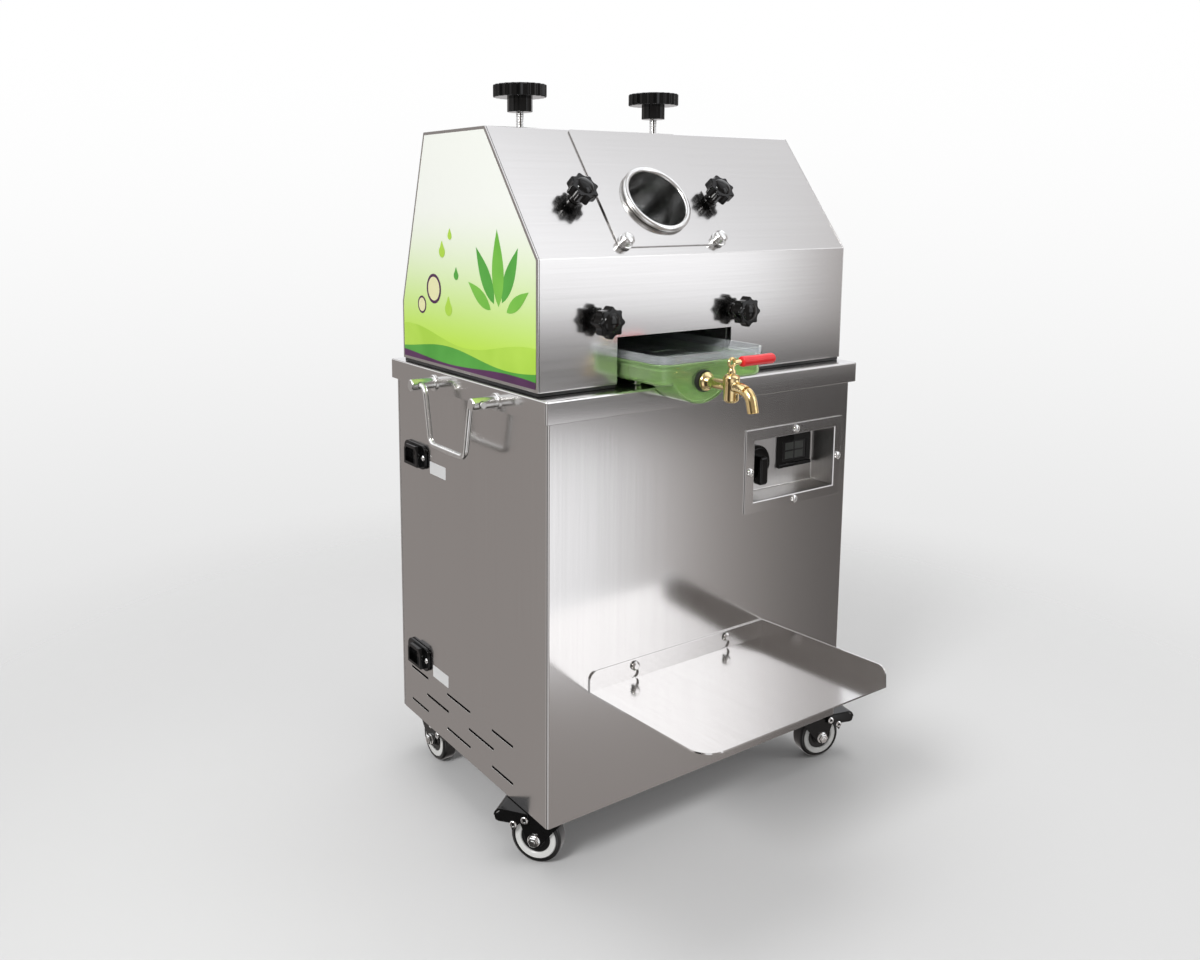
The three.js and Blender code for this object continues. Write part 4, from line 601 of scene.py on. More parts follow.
def makeStarKnobs():
    neck, neckRadius, domeRadius = knob["neck"], knob["neckRadius"], knob["domeRadius"]
    shankRadius, shankEnd = knob["shankRadius"], -knob["shank"]
    top = neck + knob["head"]
    star = lobedPiece("star", knob["radius"], knob["lobes"], knob["waist"], knob["roundness"], knob["head"])
    place(star, (0, 0, neck))
    roundEdges(star, knob["edge"], 3, 50)
    hub = lathePiece("hub", [
        (0, gap), (neckRadius - 0.6 * mm, gap), (neckRadius, gap + 0.6 * mm), (neckRadius, top - 2 * mm),
        (domeRadius, top - 2 * mm), *domeArc(domeRadius, top - mm, knob["dome"] + mm, 8),
        (0, top + knob["dome"])])
    joinPieces(star, hub)
    smoothShade(star, 50)
    shank = lathePiece("shank", [
        (0, shankEnd), (shankRadius - 0.5 * mm, shankEnd), (shankRadius, shankEnd + 0.5 * mm),
        (shankRadius, gap + mm), (0, gap + mm)], 20)
    smoothShade(shank)
    for side, x in knobX.items():
        for row, spot, tilt in (("upper", onSlope(x, hood["upperKnob"]), slopeTurn),
                                ("lower", (x, hoodLow.y, plateTop + hood["lowerKnob"]), pi / 2)):
            node = f"{row}_knob_{side}"
            turn = (tilt, 0, 0)
            standCopy(star, f"star_{node}", spot, turn, node, blackGloss)
            attachCopy(shank, f"shank_{node}", spot, turn, bodyOf[node], chrome)
    removePieces(star, shank)
    print("star knobs made")


# Tensioning handwheels on their threaded screws

wheel = {**lengths(radius=26.5, roundness=0.9, edge=1, rim=12, top=670, step=1.5, collarRadius=12.5,
                   collar=14, ribRoundness=0.8, collarEdge=0.6, screwRadius=4, thread=0.6, pitch=1.5),
         "flutes": 22, "waist": 0.93, "ribs": 12, "ribWaist": 0.95}


def makeHandwheels():
    top, step, pitch, collarRadius = wheel["top"], wheel["step"], wheel["pitch"], wheel["collarRadius"]
    crest = wheel["screwRadius"]
    root = crest - wheel["thread"]
    rimLow = top - step - wheel["rim"]
    collarLow = rimLow - wheel["collar"]
    rim = lobedPiece("rim", wheel["radius"], wheel["flutes"], wheel["waist"], wheel["roundness"],
                     wheel["rim"])
    roundEdges(rim, wheel["edge"], 2, 60)
    place(rim, (0, 0, rimLow))
    collar = lobedPiece("collar", collarRadius, wheel["ribs"], wheel["ribWaist"], wheel["ribRoundness"],
                        wheel["collar"] + mm)
    roundEdges(collar, wheel["collarEdge"], 2, 60)
    place(collar, (0, 0, collarLow))
    cap = lathePiece("cap", [
        (0, rimLow + mm), (collarRadius, rimLow + mm), (collarRadius, top - 0.5 * mm),
        (collarRadius - step, top), (0, top)])
    joinPieces(rim, collar, cap)
    smoothShade(rim, 50)
    low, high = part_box("tension_handwheel_left")[0].z, collarLow + 0.5 * mm
    profile = [(0, low), (root, low)]
    for turn in range(int((collarLow - low) / pitch)):
        z = low + (turn + 0.25) * pitch
        profile += [(crest, z), (root, z + pitch / 2)]
    thread = lathePiece("screw", profile + [(root, high), (0, high)], 20)
    smoothShade(thread, 30)
    for side, x in knobX.items():
        node = f"tension_handwheel_{side}"
        standCopy(rim, f"handwheel_{side}", (x, 0, 0), (0, 0, 0), node, blackGloss)
        attachCopy(thread, f"tension_screw_{side}", (x, 0, 0), (0, 0, 0), bodyOf[node], chrome)
    removePieces(rim, thread)
    print("handwheels made")


# Feed tube with its rolled ring, and the cover's cap nuts

feed = lengths(along=60, inner=32, wall=1.5, length=55, rim=3, cover=1.5)
capNut = lengths(radius=6.5, height=7, dome=2, along=14, places=(-95, 20))


def makeFeedTube():
    inner, rimRadius, foot = feed["inner"], feed["rim"], -feed["length"]
    outer = inner + feed["wall"]
    coverTop = 2 * gap + feed["cover"]
    ringRadius, ringHeight = outer + mm, coverTop + rimRadius
    arc = [(ringRadius + rimRadius * cos(angle), ringHeight + rimRadius * sin(angle))
           for angle in [radians(degrees) for degrees in range(-90, 181, 18)]]
    tube = lathePiece("feed_tube_ring", [
        (outer, foot), (outer, ringHeight - rimRadius), *arc, (inner, ringHeight - rimRadius), (inner, foot),
        (outer, foot)], 64)
    smoothShade(tube)
    place(tube, onSlope(feedCentre, feed["along"]), (slopeTurn, 0, 0))
    standFor(tube, "feed_tube", satinChrome)
    radius, dome = capNut["radius"], capNut["dome"]
    shoulder = coverTop + capNut["height"]
    for number, x in enumerate(capNut["places"]):
        nut = lathePiece(f"cover_cap_nut_{number + 1}", [
            (0, coverTop), (radius + mm, coverTop), (radius + mm, coverTop + mm),
            (radius - mm, coverTop + 1.6 * mm), (radius, coverTop + 2.4 * mm), (radius, shoulder - 0.8 * mm),
            *domeArc(radius - 0.8 * mm, shoulder, dome, 6), (0, shoulder + dome)], 32)
        smoothShade(nut, 35)
        attach(place(nut, onSlope(x, capNut["along"]), (slopeTurn, 0, 0)), "frame", satinChrome)
    print("feed tube made")


# Top plate: one folded sheet with two pressed runners under the tub

plate = lengths(width=400, depth=300, lip=21, sheet=1.5, fold=2, hem=0.7, runnerWidth=8, runnerHeight=6.9,
                runnerSpacing=90, runnerRound=1.9)


def makeTopPlate():
    lip, fold = plate["lip"], plate["fold"]
    sheet = platePiece("folded_top_plate", plate["width"], plate["depth"], lip, fold, 3)
    place(sheet, (0, 0, plateTop - lip))
    roundEdges(sheet, fold, 3, 60)
    selectWhere(sheet, "FACE", lambda face: face.center.z < plateTop - lip + fold)
    bpy.ops.mesh.delete(type="FACE")
    setMode("OBJECT")
    selectWhere(sheet, "VERT", lambda vertex: vertex.co.z < plateTop - lip / 2)
    bpy.ops.transform.translate(value=(0, 0, -fold))
    setMode("OBJECT")
    applyModifier(sheet, "SOLIDIFY", thickness=plate["sheet"], offset=-1)
    roundEdges(sheet, plate["hem"], 3, 60)
    smoothShade(sheet)
    standFor(sheet, "top_plate", levelSteel)
    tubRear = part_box("juice_tub")[1].y
    runner = platePiece("runner", plate["runnerWidth"], tubRear - hoodLow.y, plate["runnerHeight"] - gap)
    roundEdges(runner, plate["runnerRound"], 3, 60)
    place(runner, (0, (tubRear + hoodLow.y) / 2, plateTop))
    smoothShade(runner)
    for number, side in enumerate((-1, 1)):
        spot = (feedCentre + side * plate["runnerSpacing"] / 2, 0, 0)
        attachCopy(runner, f"tub_runner_{number + 1}", spot, (0, 0, 0), "frame", levelSteel)
    removePieces(runner)
    print("top plate made")


# Drop handles and their posts on the top plate's lip

handle = {**lengths(centre=-8, spacing=120, postRadius=6, postLength=27, flangeRadius=8.5, standOff=18,
                    bailRadius=3, bottomWidth=68, drop=56, bend=8), "z": plateTop - 13 * mm}


def makeHandles():
    centre, z, bend, standOff = handle["centre"], handle["z"], handle["bend"], handle["standOff"]
    radius, length, flange = handle["postRadius"], handle["postLength"], handle["flangeRadius"]
    bore, reach = handle["bailRadius"] + 0.4 * mm, 10 * mm
    post = lathePiece("post", [
        (0, 0), (flange, 0), (flange, 1.4 * mm), (flange - 0.6 * mm, 2 * mm), (radius, 2 * mm),
        (radius, length - mm), (radius - mm, length), (0, length)], 28)
    hole = lathePiece("hole", [(0, -reach), (bore, -reach), (bore, reach), (0, reach)], 20)
    cutPiece(post, place(hole, (0, 0, standOff), (pi / 2, 0, 0)))
    smoothShade(post)
    half = handle["spacing"] / 2
    tail = half + radius + handle["bailRadius"]
    knee = half - radius - bend - mm
    foot, drop = handle["bottomWidth"] / 2, handle["drop"]
    for label, side in (("left", -1), ("right", 1)):
        x = side * (plate["width"] / 2 + standOff)
        corners = [(x, centre + y, z - low) for y, low in (
            (-tail, 0), (-knee, 0), (-foot, drop), (foot, drop), (knee, 0), (tail, 0))]
        bail = tubePiece(f"drop_handle_{label}", roundedPath(corners, bend), handle["bailRadius"])
        smoothShade(bail, 50)
        standFor(bail, f"handle_{label}", satinChrome)
        for number, end in enumerate((-1, 1)):
            spot = (side * plate["width"] / 2, centre + end * half, z)
            attachCopy(post, f"handle_post_{label}_{number + 1}", spot, (0, side * pi / 2, 0), "frame",
                       satinChrome)
    removePieces(post)
    print("handles made")


# Pan-head screw with a cross recess, modelled once and copied to every place

screw = lengths(radius=4.3, height=2.6, foot=0.5, recess=1.5, slot=(4.6, 1.3))


def makeScrewHead():
    radius, height, foot = screw["radius"], screw["height"], screw["foot"]
    head = lathePiece("screw_head", [
        (0, 0), (radius, 0), *domeArc(radius, foot, height - foot, 8), (0, height)], 24)
    for size in (screw["slot"], screw["slot"][::-1]):
        slot = platePiece("slot", *size, height)
        cutPiece(head, place(slot, (0, 0, height - screw["recess"])))
    smoothShade(head, 35)
    return head


def placeScrew(name, location, turn, size=1.0):
    piece = copyPiece(screwHead, name)
    piece.scale = (size, size, size)
    return attach(place(piece, location, turn), "frame", chrome)


# Control recess: sloping bezel and well, battery meter, dial plate and rotary switch

recess = lengths(bezel=11.2, edge=1.5, lip=1, rise=0.4, depth=30, corner=1.2, sheet=0.8, hem=0.15)
meter = lengths(frame=7, sink=0.8, corner=2, ledge=(4, 2.4), segment=(13, 8), pitch=(14.5, 9.5))
switch = {**lengths(radius=19, disc=13, chamfer=2.6, plate=45, plateThickness=0.2, mark=(3, 1.1),
                    markRadius=20.7, gripWidth=12, gripAbove=9, gripRound=2.6), "markAngles": (45, 90, 135)}


def makeControlRecess():
    low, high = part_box("control_recess")
    middle = Vector(((low.x + high.x) / 2, cabinetFront - gap, (low.z + high.z) / 2))
    width, height = high.x - low.x, high.z - low.z
    inside = width - 2 * recess["bezel"], height - 2 * recess["bezel"]
    bezel = platePiece("control_bezel", width, height, recess["edge"])
    selectWhere(bezel, "FACE", lambda face: face.normal.z > 0.9)
    bpy.ops.mesh.inset(thickness=recess["bezel"] - recess["lip"], depth=recess["rise"])
    bpy.ops.mesh.inset(thickness=recess["lip"], depth=-recess["lip"])
    setMode("OBJECT")
    cutPiece(bezel, place(platePiece("opening", *inside, 20 * mm), (0, 0, -10 * mm)))
    roundEdges(bezel, recess["hem"], 2, 20)
    smoothShade(bezel, 20)
    standFor(place(bezel, middle, facingFront), "control_recess", uprightSteel)
    well = platePiece("control_well", *inside, recess["depth"], 0)
    selectWhere(well, "FACE", lambda face: face.normal.z > 0.9)
    bpy.ops.mesh.delete(type="FACE")
    setMode("OBJECT")
    place(well, (0, 0, -recess["depth"]))
    roundEdges(well, recess["corner"], 3, 60)
    applyModifier(well, "SOLIDIFY", thickness=recess["sheet"], offset=1)
    smoothShade(well, 30)
    place(well, (0, 0, recess["edge"] - 0.4 * mm))
    # the well walls take the steel that is darkened with painted shade
    attach(place(well, middle, facingFront), "frame", wellSteelPaintedShade)
    front = cabinetFront - gap - recess["edge"] - recess["rise"] / 2
    across, up = (width - recess["bezel"]) / 2, (height - recess["bezel"]) / 2
    for name, x, z in (("top", 0, up), ("right", across, 0), ("bottom", 0, -up), ("left", -across, 0)):
        placeScrew(f"bezel_screw_{name}", (middle.x + x, front, middle.z + z), facingFront)


def makeMeter():
    low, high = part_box("battery_meter")
    width, height = high.x - low.x, high.z - low.z
    depth = recessBack - gap - low.y
    middle = Vector(((low.x + high.x) / 2, recessBack - gap, (low.z + high.z) / 2))
    windowBack = depth - meter["sink"]
    inside = width - 2 * meter["frame"], height - 2 * meter["frame"]
    body = platePiece("meter_body", width, height, depth, meter["corner"])
    cutPiece(body, place(platePiece("opening", *inside, depth), (0, 0, windowBack)))
    roundEdges(body, 0.5 * mm, 2, 60)
    ledge = platePiece("ledge", width, *meter["ledge"])
    roundEdges(ledge, 0.9 * mm, 3, 60)
    joinPieces(body, place(ledge, (0, meter["ledge"][0] / 2 - height / 2, depth - 0.6 * mm)))
    smoothShade(body, 30)
    standFor(place(body, middle, facingFront), "battery_meter", blackGloss)
    film = platePiece("meter_window", inside[0] - 0.6 * mm, inside[1] - 0.6 * mm, 0.3 * mm, 0.5 * mm)
    place(film, (0, 0, windowBack + 0.02 * mm))
    attach(place(film, middle, facingFront), "frame", windowFilm)
    blocks = []
    for column in (-0.5, 0.5):
        for row in (-0.5, 0.5):
            block = platePiece("block", *meter["segment"], 0.1 * mm, 0.4 * mm)
            spot = (column * meter["pitch"][0], row * meter["pitch"][1], windowBack + 0.35 * mm)
            blocks.append(place(block, spot))
    marks = gatherPieces(*blocks)
    marks.name = "meter_segments"
    attach(place(marks, middle, facingFront), "frame", windowMark)


def makeSwitch():
    low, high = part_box("switch_handle")
    axis = Vector(((low.x + high.x) / 2, recessBack - gap, (low.z + high.z) / 2))
    radius, disc, chamfer = switch["radius"], switch["disc"], switch["chamfer"]
    dial = platePiece("switch_dial_plate", switch["plate"], switch["plate"], switch["plateThickness"], 3 * mm)
    place(dial, axis + Vector((0, gap - 0.02 * mm, 0)), facingFront)
    attach(dial, "frame", satinChrome)
    marks = []
    for degrees in switch["markAngles"]:
        mark = platePiece("mark", *switch["mark"], 0.05 * mm, 0.3 * mm)
        place(mark, (switch["markRadius"], 0, 0))
        marks.append(place(mark, turn=(0, 0, radians(degrees))))
    marks = gatherPieces(*marks)
    marks.name = "switch_dial_marks"
    place(marks, axis + Vector((0, gap - 0.23 * mm, 0)), facingFront)
    attach(marks, "frame", blackGloss)
    turner = lathePiece("switch_knob", [
        (0, 0), (radius, 0), (radius, disc - chamfer), (radius - chamfer, disc), (0, disc)], 64)
    roundEdges(turner, 0.5 * mm, 2, 30)
    # the grip points down, as in the off position
    below, above = (high.z - low.z) / 2, switch["gripAbove"]
    depth = axis.y - low.y - disc + 2 * mm
    grip = platePiece("grip", switch["gripWidth"], below + above, depth, 3.5 * mm, 5)
    roundEdges(grip, switch["gripRound"], 4, 60)
    joinPieces(turner, place(grip, (0, (above - below) / 2, disc - 2 * mm)))
    smoothShade(turner, 35)
    standFor(place(turner, axis, facingFront), "switch_handle", blackGloss)
    print("controls made")


# Mains inlets on the left side: flange, socket, flat pins and two screws each, with a blank sticker

inlet = {**lengths(flange=(26, 48), thickness=3, corner=8, body=(22, 30), chamfer=5, proud=8, deep=20,
                   wall=2.6, socket=17, pinPitch=7, pin=(5, 2), pinLift=(-1, 2, -1), screwSpan=40,
                   sticker=(13, 34), stickerDrop=8, stickerAhead=46), "screwSize": 0.75}


def makeInlets():
    up, along = inlet["body"][0] / 2, inlet["body"][1] / 2
    cut, proud, socket = inlet["chamfer"], inlet["proud"], inlet["socket"]
    flange = platePiece("flange", *inlet["flange"], inlet["thickness"], inlet["corner"], 6)
    roundEdges(flange, 0.7 * mm, 3, 60)
    body = prismPiece("body", [(-up, -along), (-up, along), (up - cut, along), (up, along - cut),
                               (up, -along + cut), (up - cut, -along)], proud + inlet["deep"])
    roundEdges(body, 0.6 * mm, 2, 30)
    place(body, (0, 0, -inlet["deep"]))
    selectWhere(body, "FACE", lambda face: face.normal.z > 0.9 and face.area > 1e-4)
    bpy.ops.mesh.inset(thickness=inlet["wall"], depth=0)
    extrudeUp(-socket)
    setMode("OBJECT")
    joinPieces(flange, body)
    smoothShade(flange, 30)
    pins = []
    for number, lift in zip((-1, 0, 1), inlet["pinLift"]):
        pin = platePiece("pin", *inlet["pin"], socket - 5 * mm)
        roundEdges(pin, 0.4 * mm, 2, 60)
        pins.append(place(pin, (lift, number * inlet["pinPitch"], proud - socket)))
    pins = gatherPieces(*pins)
    for label in ("lower", "upper"):
        node = f"power_inlet_{label}"
        low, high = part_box(node)
        middle = Vector((-cabinetSide - gap, (low.y + high.y) / 2, (low.z + high.z) / 2))
        standCopy(flange, f"inlet_{label}", middle, facingLeft, node, blackGloss)
        attachCopy(pins, f"inlet_pins_{label}", middle, facingLeft, "frame", satinChrome)
        for side, end in (("front", -1), ("rear", 1)):
            offset = Vector((-inlet["thickness"] + 0.2 * mm, end * inlet["screwSpan"] / 2, 0))
            placeScrew(f"inlet_screw_{label}_{side}", middle + offset, facingLeft, inlet["screwSize"])
        sticker = platePiece(f"inlet_sticker_{label}", *inlet["sticker"], 0.12 * mm, 0.8 * mm)
        y, z = middle.y - inlet["stickerAhead"], middle.z - inlet["stickerDrop"]
        place(sticker, (-cabinetSide - 0.02 * mm, y, z), facingLeft)
        attach(sticker, "frame", stickerPaper)
    removePieces(flange, pins)
    print("inlets made")


# Casters: each piece is modelled at the swivel axis with its trail along +X, then copied to four places

caster = {**lengths(trail=17, axle=-40, radius=25, width=18, tread=4, ring=(14.6, 20.6), ringDepth=2.2,
                    hub=9, bore=3.3, cheek=12.7, nut=5.4, nutHeight=4.2, rivet=3.7, rivetHole=1.5,
                    rivetHeight=0.8, pivot=(25, -19), pinFace=17, claw=(37, -26.5), arm=15.5),
          "turns": {"front_left": 126, "front_right": -13, "rear_left": -90, "rear_right": -60}}
pedal = lengths(start=22, end=57, high=-12.8, lip=8, sheet=2.2, treadHalf=15.5)


def makeCasterWheel():
    radius, tread, hub = caster["radius"], caster["tread"], caster["hub"]
    inner, outer = caster["ring"]
    half = caster["width"] / 2
    seat = half - caster["ringDepth"]
    shoulder = [(radius - tread + tread * sin(step * pi / 12), half - tread + tread * cos(step * pi / 12))
                for step in range(7)]
    side = [(caster["bore"], half), (hub - 0.6 * mm, half), (hub, half - 0.6 * mm), (hub + 0.6 * mm, seat),
            (inner, seat), (outer + 0.4 * mm, seat), (outer + 0.7 * mm, half - 0.4 * mm), *shoulder]
    profile = side + [(out, -height) for out, height in reversed(side)] + [side[0]]
    tyre = lathePiece("tyre", profile, 48)
    smoothShade(tyre, 35)
    ring = [(inner, seat), (inner, seat + 1.2 * mm), (inner + 0.8 * mm, seat + 1.9 * mm),
            (outer - 0.8 * mm, seat + 1.9 * mm), (outer, seat + 1.2 * mm), (outer, seat), (inner, seat)]
    rings = gatherPieces(*[lathePiece("ring", [(out, end * height) for out, height in ring], 48)
                           for end in (-1, 1)])
    smoothShade(rings, 35)
    axle = (caster["trail"], 0, caster["axle"])
    return place(tyre, axle, facingFront), place(rings, axle, facingFront)


def makeCasterNuts():
    radius, top = caster["nut"], caster["nutHeight"]
    nuts = []
    for end in (-1, 1):
        washer = lathePiece("washer", [
            (0, 0), (radius + 0.8 * mm, 0), (radius + 0.8 * mm, 0.7 * mm), (radius, mm), (0, mm)], 32)
        nut = lathePiece("nut", [
            (0, 0.5 * mm), (radius, 0.5 * mm), (radius, top - 0.8 * mm), (radius - 0.9 * mm, top),
            (2.6 * mm, top), (2.4 * mm, top + 0.9 * mm), (0, top + 1.1 * mm)], 6)
        joinPieces(washer, nut)
        smoothShade(washer, 25)
        spot = (caster["trail"], end * caster["cheek"], caster["axle"])
        nuts.append(place(washer, spot, (-end * pi / 2, 0, 0)))
    return gatherPieces(*nuts)


def makeRivets(spot, face):
    hole, radius, top = caster["rivetHole"], caster["rivet"], caster["rivetHeight"]
    rivets = []
    for end in (-1, 1):
        rivet = lathePiece("rivet", [
            (hole, 0), (radius, 0), (radius - 0.4 * mm, top * 0.7), (radius - 1.1 * mm, top),
            (hole + 0.3 * mm, top), (hole, top * 0.6), (hole, 0)], 24)
        smoothShade(rivet, 40)
        rivets.append(place(rivet, (spot[0], end * face, spot[1]), (-end * pi / 2, 0, 0)))
    return gatherPieces(*rivets)


def makePedal():
    # a broad tread sheet, turned down at its outer end, on two side plates with a claw below
    start, end, high = pedal["start"], pedal["end"], pedal["high"]
    lip, sheet, half = pedal["lip"], pedal["sheet"], pedal["treadHalf"]
    turns = [step * pi / 2 / 10 for step in range(11)]

    def bendPoints(radius, z):
        return [(end - lip + radius * sin(turn), z - radius * (1 - cos(turn))) for turn in turns]

    tread = prismPiece("tread", [
        (start, high), *bendPoints(lip, high), (end - sheet, high - lip),
        *reversed(bendPoints(lip - sheet, high - sheet)), (start, high - sheet)], 2 * half)
    roundEdges(tread, 0.6 * mm, 2, 60)
    place(tread, (0, half, 0), (pi / 2, 0, 0))
    pieces = [tread]
    for side in (-1, 1):
        cheek = prismPiece("side_plate", [
            (start, high - mm), (start, -23.2 * mm), (31 * mm, -24.5 * mm), (38 * mm, -33 * mm),
            (40.5 * mm, -25.5 * mm), (end - 5 * mm, -26 * mm), (end - 2 * mm, -25 * mm),
            (end - mm, -22 * mm), (end - mm, high - lip), (end - lip, high - sheet / 2)], sheet)
        roundEdges(cheek, 0.5 * mm, 2, 60)
        face = side * (caster["arm"] - sheet / 2) + sheet / 2
        pieces.append(place(cheek, (0, face, 0), (pi / 2, 0, 0)))
    joinPieces(*pieces)
    smoothShade(tread, 35)
    return tread


def makeCasters():
    tyre, rings = makeCasterWheel()
    nuts = makeCasterNuts()
    pivotRivets = makeRivets(caster["pivot"], caster["pinFace"])
    clawRivets = makeRivets(caster["claw"], caster["arm"])
    brake = makePedal()
    for label, degrees in caster["turns"].items():
        low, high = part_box(f"caster_{label}_head")
        spot = ((low.x + high.x) / 2, (low.y + high.y) / 2, 0)
        turn = (0, 0, radians(degrees))
        wheelNode, pedalNode = f"caster_{label}_wheel", f"caster_{label}_pedal"
        forkBody = bodyOf[f"caster_{label}_fork"]
        standCopy(tyre, f"tyre_{label}", spot, turn, wheelNode, wheelRubber)
        attachCopy(rings, f"wheel_rings_{label}", spot, turn, bodyOf[wheelNode], paleRing)
        attachCopy(nuts, f"axle_nuts_{label}", spot, turn, forkBody, chrome)
        attachCopy(pivotRivets, f"pivot_rivets_{label}", spot, turn, forkBody, chrome)
        standCopy(brake, f"brake_pedal_{label}", spot, turn, pedalNode, blackPaint)
        attachCopy(clawRivets, f"claw_rivets_{label}", spot, turn, bodyOf[pedalNode], chrome)
    removePieces(tyre, rings, nuts, pivotRivets, clawRivets, brake)
    print("casters made")


# Tap: cast brass body with a curved spout, a key with an eye, and a dipped red sleeve

tap = lengths(centre=-53, front=-221, height=9.5, flange=8.8, flangeThickness=3.5, neck=4.8, barrel=7.4,
              spout=5, bore=3.6, tail=4.4, voxel=0.45, eye=3.6, eyeWire=1.5, lever=2.6, sleeve=(11, 51, 4.8))


def makeTap():
    x, y, z = tap["centre"], tap["front"], plateTop + tap["height"]
    bodyLow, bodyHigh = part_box("tap_body")
    keyLow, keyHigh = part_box("tap_key")
    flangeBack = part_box("tap_washer")[0].y - gap
    tail, flange, neck, thickness = tap["tail"], tap["flange"], tap["neck"], tap["flangeThickness"]
    tailEnd, neckEnd = flangeBack - bodyHigh.y, flangeBack - y
    casting = lathePiece("tap_casting", [
        (0, tailEnd), (tail, tailEnd), (tail, 0), (flange, 0), (flange, thickness * 0.6),
        (flange - mm, thickness), (neck + 1.6 * mm, thickness + mm), (neck, thickness + 4 * mm),
        (neck, neckEnd), (0, neckEnd)], 48)
    place(casting, (x, flangeBack, z), facingFront)
    radius, low, top = tap["barrel"], bodyLow.z, keyLow.z - gap
    barrel = lathePiece("barrel", [
        (0, low + 5.6 * mm), (radius - 2.6 * mm, low + 5.6 * mm), (radius - 0.6 * mm, low + 7.6 * mm),
        (radius - 0.6 * mm, top - 7 * mm), (radius, top - 6 * mm), (radius, top - 2 * mm),
        (radius - 1.4 * mm, top - 0.6 * mm), (radius - 2 * mm, top), (0, top)], 48)
    place(barrel, (x, y, 0))
    route = roundedPath([(x, y, z), (x, y - 13 * mm, z + 0.3 * mm), (x, y - 23 * mm, z - 4 * mm),
                         (x, y - 27 * mm, low)], 6.5 * mm, 8)
    joinPieces(casting, barrel, tubePiece("spout", route, tap["spout"], 6))
    applyModifier(casting, "REMESH", mode="VOXEL", voxel_size=tap["voxel"])
    applyModifier(casting, "SMOOTH", factor=0.5, iterations=6)
    bore = tubePiece("bore", [(x, y - 23.5 * mm, z - 5 * mm), (x, y - 28.5 * mm, low - 6 * mm)],
                     tap["bore"], 6)
    trim = platePiece("trim", 30 * mm, 30 * mm, 10 * mm)
    cutPiece(casting, bore, place(trim, (x, y - 27 * mm, low - 9.7 * mm)))
    smoothShade(casting, 50)
    standFor(casting, "tap_body", brass)

    leverZ = keyHigh.z - 5 * mm
    deselectAll()
    bpy.ops.mesh.primitive_torus_add(major_radius=tap["eye"], minor_radius=tap["eyeWire"], major_segments=32,
                                     minor_segments=12, location=(x, y, leverZ), rotation=facingFront)
    eye = newestPiece("tap_key_and_eye")
    bpy.ops.object.transform_apply(location=True, rotation=True, scale=True)
    foot, stemTop = keyLow.z, leverZ - 2.6 * mm
    stem = lathePiece("stem", [
        (0, foot), (3.4 * mm, foot), (3.6 * mm, foot + 0.5 * mm), (3.6 * mm, foot + 3 * mm),
        (2.6 * mm, foot + 4.4 * mm), (2.4 * mm, stemTop), (0, stemTop)], 32)
    rod = tubePiece("rod", [(x + 2.4 * mm, y, leverZ), (keyHigh.x, y, leverZ)], tap["lever"] - 0.3 * mm, 6)
    joinPieces(eye, place(stem, (x, y, 0)), rod)
    smoothShade(eye, 45)
    standFor(eye, "tap_key", brass)

    start, end, radius = tap["sleeve"]
    inside = tap["lever"] - 0.2 * mm
    sleeve = lathePiece("red_lever_sleeve", [
        (inside, start), (radius - 1.2 * mm, start), (radius - 0.4 * mm, start + 0.5 * mm),
        (radius, start + 1.6 * mm), (radius - 0.25 * mm, (start + end) / 2), (radius, end - 3 * mm),
        (radius - 0.9 * mm, end - 0.9 * mm), (radius - 2 * mm, end - 0.2 * mm), (0, end), (0, end - 2 * mm),
        (inside, end - 2 * mm), (inside, start)], 40)
    smoothShade(sleeve, 50)
    standFor(place(sleeve, (x, y, leverZ), (0, pi / 2, 0)), "tap_grip", redSleeve)
    print("tap made")


# Juice tub: a moulded pan with a rolled rim and a half-round sump under its front end

tub = lengths(halfWidth=64, corner=14, foot=5, wall=2, rim=3, rimThickness=2, rimRound=0.8,
              sumpCentre=-52, sumpRadius=40, sumpLength=32, sumpRound=1.6, sumpTop=12, tapHole=4.7)


def makePanBody(name, inset, floor, top, front, rear):
    wide = 2 * (tub["halfWidth"] - inset)
    body = platePiece(name, wide, rear - front - 2 * inset, top - floor, tub["corner"] - inset, 8)
    selectWhere(body, "FACE", lambda face: face.normal.z < -0.9)
    bpy.ops.mesh.bevel(offset=tub["foot"] - inset, segments=6)
    setMode("OBJECT")
    return place(body, (feedCentre, (front + rear) / 2, floor))


def makeSumpBody(inset, lowest, front):
    # a drum lying front to back, kept only below the pan's floor
    x, length = tub["sumpCentre"], tub["sumpLength"]
    deselectAll()
    bpy.ops.mesh.primitive_cylinder_add(vertices=96, radius=tub["sumpRadius"] - inset,
                                        depth=length - 2 * inset)
    drum = newestPiece("sump")
    place(drum, (x, front + length / 2, lowest + tub["sumpRadius"]), facingFront)
    roundEdges(drum, tub["sumpRound"], 4, 60)
    above = platePiece("above", 200 * mm, 200 * mm, 200 * mm)
    return cutPiece(drum, place(above, (x, front, plateTop + tub["sumpTop"])))


